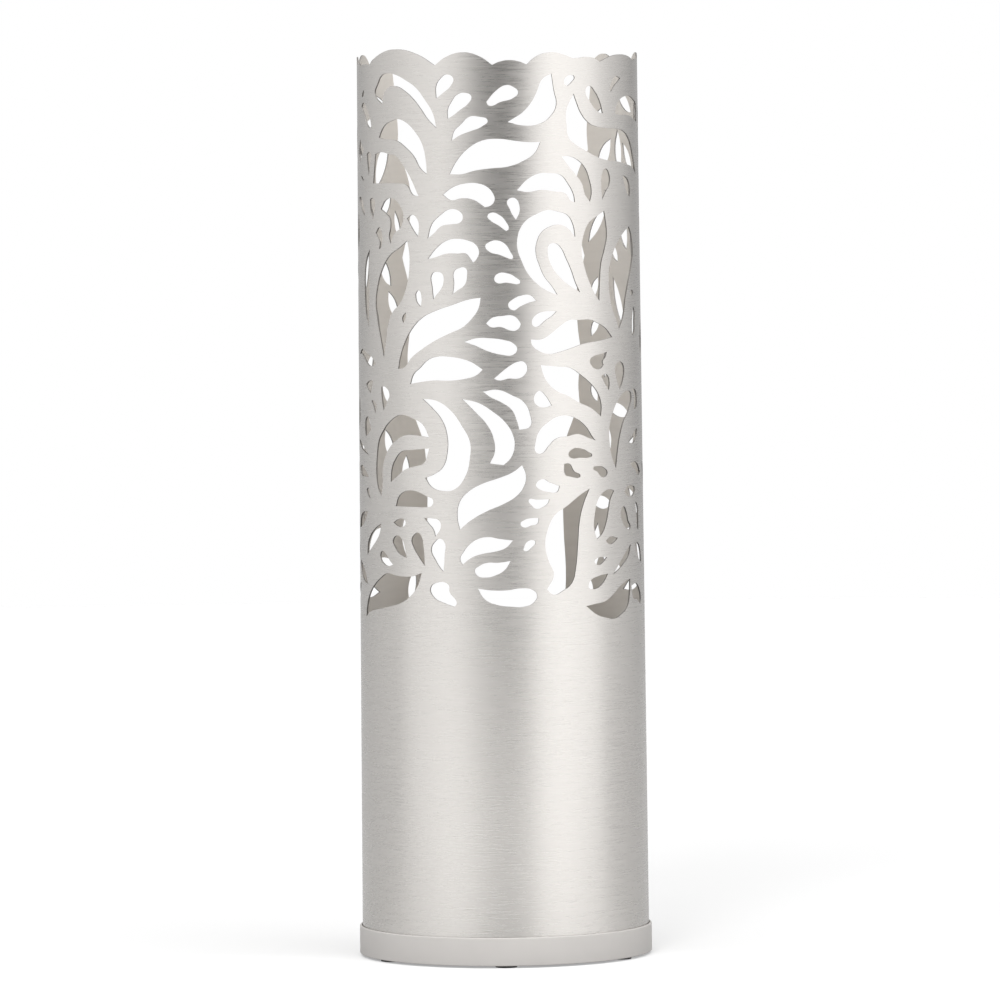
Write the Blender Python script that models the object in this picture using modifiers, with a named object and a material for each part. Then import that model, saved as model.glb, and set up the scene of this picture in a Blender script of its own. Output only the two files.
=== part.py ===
"""Umbrella stand: a pierced, rolled steel sleeve on a grey plastic base ring, with a ballast plate
inside its foot and a drip tray that lifts out through the top.

Frame: metres, +Z up, the origin on the floor under the middle of the stand. The front of the sleeve
faces -Y. A bearing goes round the stand in degrees from the front, positive towards +X.
"""

import math

import bmesh
import bpy
from mathutils import Vector

# Driving dimensions, in metres.
TOTAL_HEIGHT = 0.500  # floor to the tallest scallop of the rim
SLEEVE_RADIUS = 0.0793  # outside of the sheet at the floor
RIM_DRAW_IN = 0.0022  # how much smaller that radius is at the full height
SHEET = 0.0008  # thickness of the sleeve's sheet
SEAM_GAP = 0.0004  # the butt seam down the back of the plain zone
CLEARANCE = 0.0003  # between pieces that touch

RING_WALL = 0.0012  # wall of the plastic base ring outside the sleeve
RING_HEIGHT = 0.0156
RING_STAND_OFF = 0.0012  # gap under the ring, held open by the pads
RING_FLANGE = 0.0034  # thickness of the ring's inward flange
FLANGE_WIDTH = 0.0142  # from the groove's lip in to the bore
RING_EDGE = 0.0009  # rounding of the ring's top outer edge
GROOVE_DEPTH = 0.0085  # how far the sleeve stands down in the ring
GROOVE_LIP = 0.0015  # wall of the ring inside the groove

PAN_SHEET = 0.001
PAN_COLLAR = 0.013  # height of the collar that is welded to the sleeve
PAN_OVER_RING = 0.0022  # from the ring's top up to the pan's step

BALLAST_THICKNESS = 0.010
BALLAST_OVERLAP = 0.002  # how far the ballast reaches out over the ring's flange
STUD_RADIUS = 0.0025
STUD_HOLE_RADIUS = 0.0035
STUD_CIRCLE_SHARE = 0.625  # of the ballast's radius
STUD_COUNT = 3
WASHER_RADIUS = 0.0075
WASHER_THICKNESS = 0.001
NUT_ACROSS_FLATS = 0.008
NUT_HEIGHT = 0.004

SCREW_INSET = 0.0075  # from the ring's bore out to the screws
SCREW_COUNT = 4
SCREW_FIRST = 45  # bearing of the first base screw, between two pads
SCREW_SHANK_RADIUS = 0.0014
SCREW_HEAD_RADIUS = 0.003
SCREW_HEAD_HEIGHT = 0.0016
SCREW_LENGTH = 0.0075  # under the head

PAD_RADIUS = 0.006
PAD_INSET = 0.0082  # from the ring's outside in to the pads' middles
PAD_COUNT = 6
PAD_POCKET = 0.0014  # how far a pad stands up into the ring

TRAY_CLEARANCE = 0.0007  # round the lip, where the sleeve is narrowest
TRAY_WALL = 0.0016
TRAY_DEPTH = 0.040  # outside, floor to lip
TRAY_LIP = 0.0010  # how far the rolled lip stands out
TRAY_FOOT_INSET = 0.006  # from the ballast's edge in to the ring that the tray stands on
TRAY_RIB_COUNT = 8
TRAY_RIB_HEIGHT = 0.0025
GRIP_LENGTH = 0.030  # finger slots in the tray's wall
GRIP_HEIGHT = 0.011

# The cut pattern was drawn for a stand DRAWN_HEIGHT tall, in degrees of bearing and millimetres of
# height above the floor, and it stretches with the stand.
DRAWN_HEIGHT = 500
T = True  # marks a sharp tip; the other points are rounded through
REAR_BEARING = 183  # middle of the open back, opposite the front of the pattern

# The scalloped rim: each valley as (bearing, height), and the crown of the scallop after it.
RIM = [
    (-130, 491, 496), (-113, 491, 497), (-97, 491, 496), (-83, 491.5, 492.5), (-76, 490.5, 492),
    (-65, 491.5, 500), (-26, 491, 498), (-2, 491, 493.5), (12, 491, 497.5), (32.5, 494, 494.8),
    (46.5, 492, 496), (75, 492.5, 493.5), (86, 492, 497), (106, 491, 495.5), (122, 491, 496.5),
]
RIM_END = (137, 491)

# The edge of the open back: half its width as a bearing from its middle, and the height.
REAR_EDGE = [
    (0, 168, T), (18, 168), (27, 176), (30, 195), (29.5, 235), (29.5, 262), (31, 280), (34.5, 292),
    (38, 302, T), (37.5, 313), (39, 327), (37.5, 345), (37, 362), (41.5, 384, T), (38, 400),
    (36.5, 415), (38.5, 430), (44, 443, T), (43.5, 455), (45, 470), (46, 482),
]

# The holes that are cut through the front and the sides: a closed outline each.
CUT_OUTS = {
    "crest_left": [(-25.5, 457, T), (-27, 465), (-31, 473), (-35, 479), (-40, 483), (-45.5, 486),
        (-50, 487), (-54.5, 486), (-58, 481), (-60, 476), (-54.5, 470, T), (-53.5, 475),
        (-50.5, 479), (-46, 480), (-40.5, 477), (-36.5, 473), (-33, 468), (-29.5, 462)],
    "crescent_left": [(-57, 452, T), (-55, 456), (-52.5, 459), (-48.5, 461), (-44.5, 462),
        (-40, 460), (-35.5, 455), (-32, 448), (-30.5, 440), (-30, 432, T), (-33, 435), (-36.5, 442),
        (-41, 447), (-45, 450), (-49.5, 451), (-53, 451)],
    "veil_left": [(-62, 427, T), (-61, 435), (-60, 443, T), (-55.5, 444), (-50, 443), (-46, 442),
        (-42, 437), (-38.5, 431), (-34, 420, T), (-37, 421), (-40, 426), (-45, 427), (-53, 427)],
    "edge_petal_a": [(-74.5, 469, T), (-72, 471), (-67.5, 468), (-65, 464), (-63, 457, T),
        (-66.5, 458), (-70, 463)],
    "slot_a": [(-74, 474, T), (-72.5, 477), (-71, 478, T), (-71.5, 475)],
    "edge_petal_b": [(-77.5, 451, T), (-74.5, 448), (-71.5, 445, T), (-74.5, 442), (-77.5, 438, T),
        (-79.5, 445)],
    "edge_petal_c": [(-68, 443, T), (-66, 444), (-63.5, 443), (-64.5, 438), (-66, 431, T),
        (-67, 435)],
    "slot_b": [(-76, 431, T), (-73, 430), (-71, 428, T), (-74, 429)],
    "edge_petal_d": [(-80, 419, T), (-76, 419), (-73, 416), (-70.5, 409, T), (-74, 411),
        (-77.5, 415)],
    "edge_petal_e": [(-65, 418, T), (-62.5, 419), (-60.5, 417), (-61, 412), (-62.5, 407, T),
        (-64.5, 412)],
    "hook_left": [(-56, 413, T), (-52.5, 418), (-48.5, 419), (-44.5, 416), (-42, 410), (-43.5, 403),
        (-47, 400), (-49.5, 394, T), (-50.5, 398), (-49.5, 404), (-50, 408), (-53, 411)],
    "hook_small": [(-60, 400, T), (-57, 403), (-55.5, 401), (-55, 396), (-56, 392), (-57.5, 391, T),
        (-57, 395), (-59, 398)],
    "tall_leaf_left": [(-40, 396, T), (-39, 389), (-39, 381), (-40.5, 371), (-44, 362),
        (-48.5, 357), (-51.5, 350), (-53, 340), (-54.5, 332, T), (-56.5, 341), (-59.5, 354),
        (-60.5, 362), (-59, 371), (-55.5, 380), (-50, 388), (-44.5, 392)],
    "edge_leaf_a": [(-65.5, 391, T), (-66.5, 383), (-66, 371), (-66.5, 360), (-67, 348, T),
        (-70, 355), (-71.5, 367), (-71.5, 378), (-69, 386)],
    "bud_a": [(-40, 408, T), (-37, 410), (-34.5, 407), (-34, 403), (-34.5, 398, T), (-37, 402)],
    "bud_b": [(-36, 367, T), (-34.5, 369), (-33, 365), (-33.5, 360, T), (-35.5, 363)],
    "slot_c": [(-41, 357, T), (-41, 354), (-42.5, 351, T), (-43, 354)],
    "edge_crescent_a": [(-60.5, 328, T), (-64.5, 332), (-69.5, 334), (-75.5, 336), (-81, 333, T),
        (-75.5, 333), (-71.5, 330), (-66.5, 327)],
    "bud_c": [(-70.5, 317, T), (-66.5, 319), (-63, 319, T), (-64.5, 315), (-65.5, 312, T),
        (-68.5, 314)],
    "bud_d": [(-65, 308, T), (-62.5, 308), (-60.5, 306), (-61.5, 301, T), (-63, 305)],
    "bud_e": [(-56.5, 316, T), (-54, 316), (-51, 312), (-52.5, 308), (-55, 303, T), (-56, 308),
        (-56.5, 312)],
    "bud_f": [(-72, 297), (-68.5, 299), (-66.5, 296), (-65.5, 292, T), (-68, 290), (-71.5, 288, T),
        (-72.5, 293)],
    "swirl_left": [(-30, 289, T), (-33, 296), (-37.5, 299), (-44, 301), (-50, 298), (-55.5, 292),
        (-59, 286), (-60.5, 278), (-61, 268), (-59.5, 260), (-57, 256, T), (-56, 263), (-56, 271),
        (-54, 278), (-51, 283), (-47, 287), (-41.5, 290), (-36, 290)],
    "swirl_left_leaf": [(-50.5, 264, T), (-50, 271), (-47.5, 277), (-44, 281), (-39, 282),
        (-30, 283, T), (-31, 279), (-32.5, 275), (-37.5, 273), (-42.5, 271), (-47, 267)],
    "edge_slot_a": [(-81.5, 271, T), (-78, 272), (-73, 270), (-68, 266, T), (-74, 266),
        (-79.5, 267)],
    "edge_slot_b": [(-85.5, 286, T), (-80, 285), (-74, 282), (-68, 278, T), (-75, 280),
        (-81.5, 283)],
    "slot_d": [(-71, 259, T), (-69, 260), (-67.5, 257), (-66.5, 254, T), (-69.5, 256)],
    "fan_left": [(-47.5, 251, T), (-46, 256), (-43, 259), (-39, 260), (-35, 259), (-31.5, 257),
        (-28.5, 255), (-29, 252), (-32, 251), (-37, 251), (-42, 251)],
    "seed_a": [(-49, 242, T), (-46, 244), (-43, 244), (-42, 242), (-43.5, 240), (-46, 240)],
    "seed_b": [(-49.5, 232), (-47, 235), (-44, 233), (-42.5, 228), (-41.5, 223, T), (-45.5, 225),
        (-48.5, 229)],
    "seed_c": [(-39, 233), (-37.5, 236), (-35.5, 237), (-34, 235), (-33, 229), (-32.5, 219, T),
        (-35.5, 224), (-38, 229)],
    "seed_d": [(-32.5, 245, T), (-29, 245), (-26, 244), (-25, 241), (-27.5, 235, T), (-28.5, 239),
        (-30.5, 242)],
    "seed_e": [(-29.5, 228), (-28, 232), (-25.5, 234), (-23.5, 232), (-23.5, 225), (-24, 216, T),
        (-25.5, 218), (-27.5, 222)],
    "seed_f": [(-30, 207), (-27, 210), (-22, 209), (-21.5, 205), (-18.5, 199), (-19.5, 197, T),
        (-24, 199), (-28.5, 202)],
    "seed_g": [(-58, 225), (-56, 226), (-53.5, 224), (-51.5, 221), (-49.5, 219, T), (-52.5, 218),
        (-55.5, 219), (-58, 222)],
    "edge_leaf_b": [(-57.5, 241, T), (-58.5, 236), (-61, 232), (-65, 228), (-70.5, 223, T),
        (-70, 229), (-67, 234), (-62.5, 238)],
    "edge_leaf_c": [(-69.5, 247, T), (-72, 243), (-77, 239), (-85, 237, T), (-81.5, 243),
        (-77, 246)],
    "ground_leaf_left": [(-34, 215, T), (-36, 208), (-40, 202), (-45.5, 198), (-51.5, 196),
        (-59.5, 194), (-67.5, 192), (-72.5, 189, T), (-71.5, 195), (-68, 202), (-63.5, 207),
        (-58.5, 211), (-53.5, 214), (-47, 213), (-39.5, 213)],
    "edge_leaf_d": [(-82.5, 220, T), (-77, 217), (-73, 213), (-70, 207, T), (-76, 209), (-81, 214)],
    "petal_a": [(-25.5, 473, T), (-25.5, 480), (-23.5, 484), (-21, 486), (-18, 484), (-19, 480),
        (-22.5, 476)],
    "petal_b": [(-20.5, 462, T), (-20.5, 467), (-19, 471), (-16.5, 475), (-13, 476), (-10.5, 474),
        (-12, 470), (-15, 467), (-18, 464)],
    "petal_c": [(-19, 450, T), (-18, 455), (-15, 459), (-11.5, 463), (-7.5, 463), (-4, 461),
        (-6, 458), (-11.5, 455), (-15.5, 453)],
    "petal_d": [(-4.5, 471, T), (-0.5, 477), (3.5, 480), (6.5, 479), (8.5, 476), (6.5, 473),
        (1.5, 471), (-3.5, 469)],
    "leaf_upper": [(-20, 432, T), (-17, 439), (-12, 446), (-6.5, 450), (0, 451), (6, 450),
        (12, 449), (17.5, 449, T), (15, 443), (10.5, 439), (4.5, 436), (-3, 435), (-9, 434),
        (-15, 432)],
    "petal_big": [(4, 460, T), (10.5, 458), (17.5, 459), (22, 463), (24.5, 469), (23.5, 477),
        (22.5, 486, T), (18.5, 483), (16, 476), (14, 471), (10, 465), (6.5, 462)],
    "bud_g": [(28, 481), (29, 484), (31.5, 485), (33, 484), (31.5, 481), (29.5, 479, T)],
    "swirl_right_cap": [(7.5, 423, T), (12, 429), (17, 432), (21.5, 432), (26, 431), (29.5, 426),
        (32, 420), (32.5, 416, T), (30.5, 417), (28, 421), (23.5, 422), (18, 423), (12, 422)],
    "comma_a": [(-23, 421, T), (-18.5, 425), (-13, 427), (-8.5, 427), (-4.5, 425), (-2, 421),
        (-1.5, 418), (-3, 415), (-5.5, 414, T), (-7.5, 416), (-10, 418), (-15, 419), (-19.5, 418)],
    "seed_h": [(3.5, 417), (5.5, 419), (7.5, 418), (8.5, 415), (8.5, 411), (7, 407, T), (5.5, 410),
        (4.5, 413)],
    "seed_i": [(-4.5, 409), (-3, 411), (0, 410), (3, 406), (4, 402), (3, 401, T), (0, 404),
        (-3.5, 407)],
    "petal_e": [(-30, 397, T), (-28, 405), (-24, 410), (-20, 413), (-16, 412), (-14.5, 409),
        (-15.5, 406), (-19, 405), (-23.5, 404), (-27, 400)],
    "comma_b": [(-30, 386, T), (-26, 392), (-21.5, 396), (-17, 397), (-12.5, 396), (-9.5, 394),
        (-8, 390), (-9, 386), (-10.5, 384, T), (-11.5, 386), (-13.5, 389), (-17, 389), (-21.5, 389),
        (-26.5, 387)],
    "seed_j": [(-5.5, 393), (-4, 395), (-1, 396), (2.5, 394), (4.5, 390), (5.5, 386), (4, 386, T),
        (0.5, 388), (-4, 390)],
    "seed_k": [(-2, 375), (-0.5, 378), (3.5, 378), (6.5, 376), (8.5, 373), (7, 372, T), (3, 373),
        (-1, 373)],
    "seed_l": [(3.5, 361), (5.5, 364), (9, 366), (12.5, 366), (15, 363, T), (12, 362), (8.5, 360),
        (5.5, 358)],
    "seed_m": [(-28, 378), (-25.5, 379), (-23.5, 378), (-23, 373), (-24.5, 369), (-26.5, 366),
        (-27.5, 364, T), (-28, 370)],
    "seed_n": [(-18.5, 379), (-16.5, 381), (-13.5, 381), (-13, 377), (-14, 372), (-17, 369),
        (-19, 367, T), (-18.5, 373)],
    "seed_o": [(-5.5, 351, T), (-3, 354), (1, 355), (5.5, 355), (8, 352), (8.5, 350), (6.5, 347),
        (4.5, 347), (0.5, 349), (-3.5, 349)],
    "seed_p": [(13, 351), (14.5, 355), (18, 357), (23.5, 357, T), (22, 355), (18.5, 352),
        (15.5, 349), (14, 349)],
    "ring_swirl": [(32.5, 397, T), (31.5, 404), (29, 409), (25, 411), (20, 412), (15.5, 410),
        (11.5, 407), (9, 403), (7.5, 397), (7.5, 391), (9, 385), (11.5, 378), (15.5, 372),
        (20, 368), (24, 366, T), (21.5, 371), (18.5, 376), (16.5, 382), (15, 389), (15.5, 395),
        (17.5, 400), (21, 403), (25.5, 404), (29, 402)],
    "tongue_leaf": [(20.5, 393), (23, 394), (25.5, 392), (28, 386), (30.5, 379), (32.5, 372),
        (34.5, 367, T), (30.5, 370), (25.5, 375), (21.5, 382), (20, 389)],
    "veil_right": [(12.5, 342, T), (17, 342), (21, 345), (25, 349), (29, 352), (33.5, 352),
        (39, 352), (43.5, 350), (48, 347), (52, 342, T), (48, 341), (42, 340), (36, 339),
        (30.5, 337), (25, 335), (20, 334), (15.5, 336), (13, 339)],
    "leaf_mid": [(-14.5, 341, T), (-9.5, 343), (-4, 343), (1.5, 342), (5.5, 340), (7, 337),
        (5.5, 334), (0.5, 334), (-5, 336), (-10, 339)],
    "leaf_main_left": [(-45.5, 326, T), (-44.5, 332), (-42, 340), (-38, 348), (-33, 354),
        (-26.5, 358), (-19.5, 361), (-12.5, 364), (-7.5, 365, T), (-8.5, 359), (-11, 354),
        (-15, 349), (-20, 346), (-26.5, 342), (-33, 337), (-38.5, 332), (-42, 327)],
    "leaf_main_low": [(-39, 318, T), (-37.5, 323), (-34, 327), (-30.5, 331), (-26, 333), (-21, 333),
        (-16, 332), (-11.5, 330), (-7, 326, T), (-9.5, 323), (-14.5, 321), (-21, 320), (-28.5, 320),
        (-34.5, 319)],
    "petal_f": [(-2.5, 321, T), (1, 325), (4, 328), (7, 330), (9.5, 330), (11, 327), (10, 323),
        (7.5, 321), (3.5, 321), (-0.5, 320)],
    "comma_c": [(-7, 314, T), (-1, 315), (4.5, 312), (9.5, 308), (12, 301), (12, 295),
        (7.5, 293, T), (6.5, 298), (4.5, 304), (0.5, 308), (-4, 311)],
    "comma_d": [(-15.5, 310, T), (-9, 308), (-3, 303), (2, 297), (5, 290), (5.5, 284), (4, 278),
        (1, 274, T), (-4.5, 275, T), (-2.5, 281), (-3, 289), (-5.5, 296), (-9.5, 302)],
    "crescent_big": [(-33, 310, T), (-26.5, 309), (-20.5, 304), (-15.5, 295), (-12.5, 287),
        (-12.5, 278), (-14.5, 268), (-19, 261), (-24, 260), (-29, 262), (-32, 267, T), (-28, 269),
        (-24, 273), (-22, 281), (-22, 290), (-24, 298), (-28.5, 305)],
    "leaf_low": [(8.5, 274, T), (10, 268), (9, 262), (6, 257), (1, 253), (-6, 249), (-12.5, 244),
        (-17, 239, T), (-18, 246), (-17, 254), (-13, 260), (-7.5, 264), (-1, 267), (4.5, 270)],
    "seed_q": [(14, 263), (16.5, 266), (20, 264), (24, 262, T), (23, 259), (19.5, 259), (15, 261)],
    "seed_r": [(13.5, 309), (14.5, 313), (16, 314), (18, 312), (21, 306, T), (18, 305), (15, 306)],
    "wing_right": [(16.5, 328, T), (23.5, 327), (29.5, 326), (34.5, 322), (39.5, 317), (43, 312),
        (45, 305), (44.5, 299, T), (39, 304), (33.5, 307), (28, 311), (23, 314), (19, 319),
        (17.5, 323)],
    "crescent_right": [(14, 281), (14, 286), (15.5, 292), (19.5, 297), (24, 300), (28.5, 300),
        (32.5, 298), (36.5, 294), (40, 288), (41.5, 286, T), (37, 288), (32.5, 290), (28, 289),
        (23, 288), (19.5, 284), (16.5, 280)],
    "leaf_low_b": [(-16, 220, T), (-17, 223), (-15.5, 227), (-13, 231), (-9.5, 234), (-5.5, 235),
        (-1, 234), (4.5, 233, T), (1.5, 229), (-3, 227), (-7.5, 226), (-12, 224)],
    "petal_g": [(-11, 217), (-9.5, 219), (-6, 221), (-1.5, 221), (3.5, 222, T), (1, 217), (-3, 214),
        (-6.5, 213), (-10, 214)],
    "ground_bean": [(-10, 207, T), (-4, 206), (2, 206), (8, 207), (12, 206), (14, 203), (12.5, 199),
        (9, 197), (3.5, 197), (-2, 198), (-7, 201)],
    "seed_s": [(7.5, 242), (9, 244), (12, 245), (15, 245, T), (14.5, 242), (12, 241), (9, 240)],
    "seed_t": [(8.5, 228, T), (10, 232), (12.5, 233), (13.5, 232), (12, 229), (9.5, 227)],
    "seed_u": [(11, 255), (14, 255), (19.5, 255, T), (19, 253), (17, 251), (14, 250), (12, 252)],
    "bud_h": [(38.5, 477), (40.5, 479), (43.5, 476), (46.5, 470), (48, 464, T), (45, 465),
        (41, 470)],
    "crescent_rim": [(52.5, 476, T), (53.5, 480), (56.5, 484), (60.5, 483, T), (58.5, 481),
        (56, 479), (53.5, 476)],
    "veil_edge_right": [(56, 464, T), (58.5, 470), (64, 473), (70, 473), (75.5, 471), (80, 468),
        (79.5, 459, T), (75.5, 460), (70.5, 462), (64.5, 463), (59.5, 463)],
    "bud_i": [(49, 434), (51.5, 431), (51.5, 425), (49, 421), (47, 417, T), (46.5, 425), (47, 431)],
    "hook_right": [(26.5, 441, T), (30, 441), (34, 439), (37.5, 435), (40, 428), (41, 421),
        (40, 416, T), (37.5, 420), (36, 426), (33, 431), (29.5, 436)],
    "bud_j": [(61.5, 430, T), (64.5, 429), (67.5, 426), (68.5, 421), (68, 418, T), (65.5, 420),
        (63, 425)],
    "tall_leaf_right": [(48, 411, T), (49, 405), (49.5, 397), (48, 390), (46, 383), (45, 373),
        (44.5, 362, T), (42, 366), (39, 373), (36.5, 382), (35.5, 390), (36.5, 398), (39.5, 405),
        (43.5, 408)],
    "tall_leaf_edge": [(67, 402, T), (70, 396), (71, 388), (69, 380), (65, 370), (62.5, 362),
        (60.5, 353), (57, 346, T), (55, 351), (52, 359), (50.5, 368), (50.5, 378), (53, 387),
        (57, 394), (62, 399)],
    "bud_k": [(67, 365, T), (68.5, 367), (70.5, 366), (69.5, 364)],
    "slot_e": [(70.5, 358, T), (72, 356), (72, 350), (71, 343), (69, 342, T), (69, 350)],
    "heart_cut": [(39, 330), (41, 332), (44.5, 333), (48.5, 334, T), (47.5, 331), (46, 329),
        (46.5, 327, T), (44.5, 325), (40.5, 326)],
    "bud_l": [(45, 321, T), (47, 322), (49, 321), (50, 317), (49.5, 313, T), (47.5, 316),
        (46, 319)],
    "bud_m": [(54, 326), (56, 328), (58.5, 328), (60.5, 325), (59.5, 318), (57, 313, T), (55, 318)],
    "wing_edge": [(51, 299, T), (54.5, 306), (59.5, 311), (64.5, 312), (67, 310), (64.5, 302),
        (59.5, 295), (56.5, 287), (55, 280), (53.5, 270, T), (51, 276), (49.5, 285), (49.5, 293)],
    "bud_n": [(68, 313, T), (72, 312), (74, 307), (73.5, 303, T), (70, 302), (70.5, 308)],
    "seed_v": [(28, 279), (30, 282), (34, 282), (37.5, 280), (39.5, 278), (38, 277), (33, 277),
        (29.5, 277)],
    "seed_w": [(26, 274, T), (28.5, 274), (30.5, 270), (33.5, 267), (32, 266, T), (28.5, 267),
        (26.5, 268)],
    "seed_x": [(40, 271), (42.5, 272), (46, 271), (48, 268), (46.5, 266), (44.5, 266), (42, 269)],
    "bud_o": [(59.5, 257, T), (62.5, 260), (66, 260), (69.5, 258), (68, 255), (64.5, 254),
        (61, 255)],
    "edge_slot_c": [(65, 272, T), (69, 273), (74, 271), (77.5, 267, T), (75, 265), (70.5, 268)],
    "edge_slot_d": [(63.5, 284, T), (67, 287), (70.5, 290), (73.5, 291, T), (72, 286), (68, 283)],
    "shield_right": [(38, 260, T), (33.5, 257), (27, 251), (21.5, 246), (18.5, 238), (17.5, 230),
        (19, 221), (21, 214), (18, 206, T), (21, 203), (25, 205), (29, 209), (31, 218), (32, 230),
        (33, 243), (35, 252)],
    "almond_right": [(52, 258, T), (49.5, 253), (48.5, 248), (47, 241), (44.5, 235), (41.5, 232, T),
        (40, 239), (40.5, 246), (42.5, 254), (46, 258), (49, 259)],
    "bud_p": [(56.5, 246), (58.5, 249), (61, 246), (62.5, 241), (64.5, 237), (63.5, 236, T),
        (60.5, 237), (57.5, 241)],
    "edge_slot_e": [(70, 251, T), (72.5, 249), (73.5, 243), (73.5, 235, T), (72, 236), (71, 243)],
    "seed_y": [(46.5, 231, T), (49, 233), (54, 232, T), (52, 230), (48.5, 229)],
    "seed_z": [(40, 220), (42, 222), (47, 222, T), (45.5, 220), (42.5, 218), (40.5, 219)],
    "edge_leaf_e": [(50.5, 212, T), (55, 218), (61, 225), (64.5, 228, T), (62.5, 222), (57.5, 217)],
    "seed_za": [(37, 208), (38, 210), (42, 212), (47.5, 213, T), (46, 210), (42.5, 206), (39, 205),
        (37, 206)],
    "edge_leaf_f": [(69, 228, T), (72.5, 228), (76, 224), (77.5, 217, T), (73.5, 219), (70, 223)],
    "ground_leaf_right": [(35.5, 196, T), (40.5, 197), (45.5, 198), (50, 201), (54.5, 205),
        (59.5, 208), (63.5, 209, T), (63, 201), (61, 194), (56, 190), (51, 188), (46, 189),
        (41, 191)],
    "edge_crescent_b": [(64.5, 205, T), (69.5, 206), (73.5, 203), (76, 197), (74.5, 194, T),
        (70.5, 197), (66.5, 198)],
    "leaf_big_right": [(32.5, 475, T), (34, 470), (36, 464.5), (40, 459), (44, 457), (50, 456),
        (57, 455.5), (63, 454), (68, 450), (72, 443), (77, 430, T), (72, 434), (65, 436),
        (58, 437.5), (50, 438.5), (44, 440.5), (38, 444), (33, 447.5), (30, 451), (29, 458),
        (29, 466)],}

# The leaves of the back flanks: (bearing, height, length, width, lean from upright in degrees).
FLANK_LEAVES = [
    (-123, 436, 30, 12, -25), (-110, 456, 26, 8, -60), (-96, 468, 24, 9, -35), (-118, 472, 22, 7, 80),
    (-88, 446, 26, 10, 20), (-102, 436, 30, 12, 35), (-126, 413, 16, 8, -30), (-113, 408, 30, 10, 30),
    (-95, 410, 34, 13, -25), (-133, 402, 18, 5, 15), (-83, 400, 22, 8, 5), (-125, 377, 20, 9, 30),
    (-130, 358, 18, 8, 30), (-107, 375, 34, 13, -20), (-90, 372, 28, 10, 30), (-117, 350, 34, 10, 15),
    (-98, 345, 24, 9, 40), (-132, 334, 16, 7, 0), (-88, 342, 22, 8, -10), (-110, 322, 26, 10, -35),
    (-95, 315, 30, 11, 20), (-126, 310, 24, 9, 30), (-115, 293, 22, 9, 60), (-84, 300, 20, 8, 10),
    (-127, 280, 20, 9, 25), (-103, 285, 28, 10, -15), (-90, 276, 22, 9, -40), (-137, 265, 18, 7, 0),
    (-113, 256, 26, 10, 30), (-100, 250, 20, 9, 10), (-128, 248, 24, 9, -30), (-90, 246, 20, 8, 20),
    (-137, 228, 26, 8, 5), (-115, 228, 22, 9, -55), (-99, 222, 26, 9, 45), (-127, 213, 26, 9, 70),
    (-87, 225, 14, 7, -30), (-108, 201, 30, 9, 80), (-88, 202, 20, 8, 60), (-140, 200, 20, 7, -10),
    (129, 440, 22, 10, -30), (119, 442, 26, 9, 5), (110, 438, 24, 9, 40), (128, 464, 24, 8, -70),
    (113, 470, 24, 9, 60), (97, 468, 22, 9, -30), (86, 462, 20, 8, 30), (99, 441, 22, 9, 20),
    (88, 436, 24, 9, -15), (134, 402, 26, 7, -35), (115, 398, 22, 11, 15), (123, 386, 12, 6, 30),
    (124, 418, 16, 7, 70), (101, 412, 28, 10, -30), (88, 408, 24, 9, 25), (104, 385, 26, 10, 30),
    (92, 378, 26, 9, -20), (129, 370, 18, 6, 0), (120, 357, 34, 8, 22), (136, 366, 14, 6, -20),
    (136, 345, 14, 6, -30), (106, 350, 26, 10, -25), (92, 345, 24, 9, 30), (110, 325, 28, 10, 40),
    (128, 328, 26, 9, -20), (96, 316, 26, 9, -30), (83, 340, 22, 8, 10), (137, 308, 12, 6, 20),
    (122, 299, 26, 9, 80), (108, 297, 22, 9, 20), (92, 290, 24, 9, 30), (129, 281, 16, 7, 0),
    (114, 275, 26, 9, -40), (99, 268, 24, 9, 15), (86, 264, 20, 8, -30), (134, 247, 18, 9, 85),
    (121, 256, 24, 9, 20), (108, 248, 24, 9, 50), (94, 242, 24, 9, -20), (137, 222, 26, 8, -5),
    (119, 226, 26, 9, -50), (103, 221, 26, 9, 30), (127, 212, 22, 8, 65), (88, 218, 20, 8, 10),
    (111, 202, 26, 8, -75), (94, 201, 16, 7, 60), (141, 198, 16, 7, 10),
]

FACET_DEGREES = 12  # width of one flat strip of the rolled sheet
ROUND_STEPS = 64  # sides of the turned pieces
SMALL_STEPS = 16  # sides of the fasteners and pads
DRAWN_RADIUS = 0.078  # turns bearings into a flat width while the pattern is drawn

# Heights that follow from the sizes above.
RING_TOP = RING_STAND_OFF + RING_HEIGHT
PAN_STEP = RING_TOP + PAN_OVER_RING
PAN_COLLAR_TOP = PAN_STEP + PAN_COLLAR
FLANGE_TOP = RING_STAND_OFF + RING_FLANGE
SLEEVE_FOOT = RING_TOP - GROOVE_DEPTH
PAN_FLOOR = FLANGE_TOP + CLEARANCE
PAN_TOP = PAN_FLOOR + PAN_SHEET
BALLAST_TOP = PAN_TOP + CLEARANCE + BALLAST_THICKNESS
WASHER_FLOOR = BALLAST_TOP + CLEARANCE
NUT_FLOOR = WASHER_FLOOR + WASHER_THICKNESS + CLEARANCE
STUD_TOP = NUT_FLOOR + NUT_HEIGHT + 0.0012
TRAY_FLOOR = STUD_TOP + 0.0012  # underside of the tray's floor, clear of the studs
TRAY_TOP = TRAY_FLOOR + TRAY_DEPTH


def sleeve_radius(z):
    """Outside of the tapered sleeve at a height."""
    return SLEEVE_RADIUS - RIM_DRAW_IN * z / TOTAL_HEIGHT


def room_inside_sleeve(z):
    """Largest radius that fits inside the rolled sheet, whose strips are flat between their edges."""
    inner = sleeve_radius(z) - SHEET
    return inner * math.cos(math.radians(FACET_DEGREES / 2)) - CLEARANCE


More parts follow.
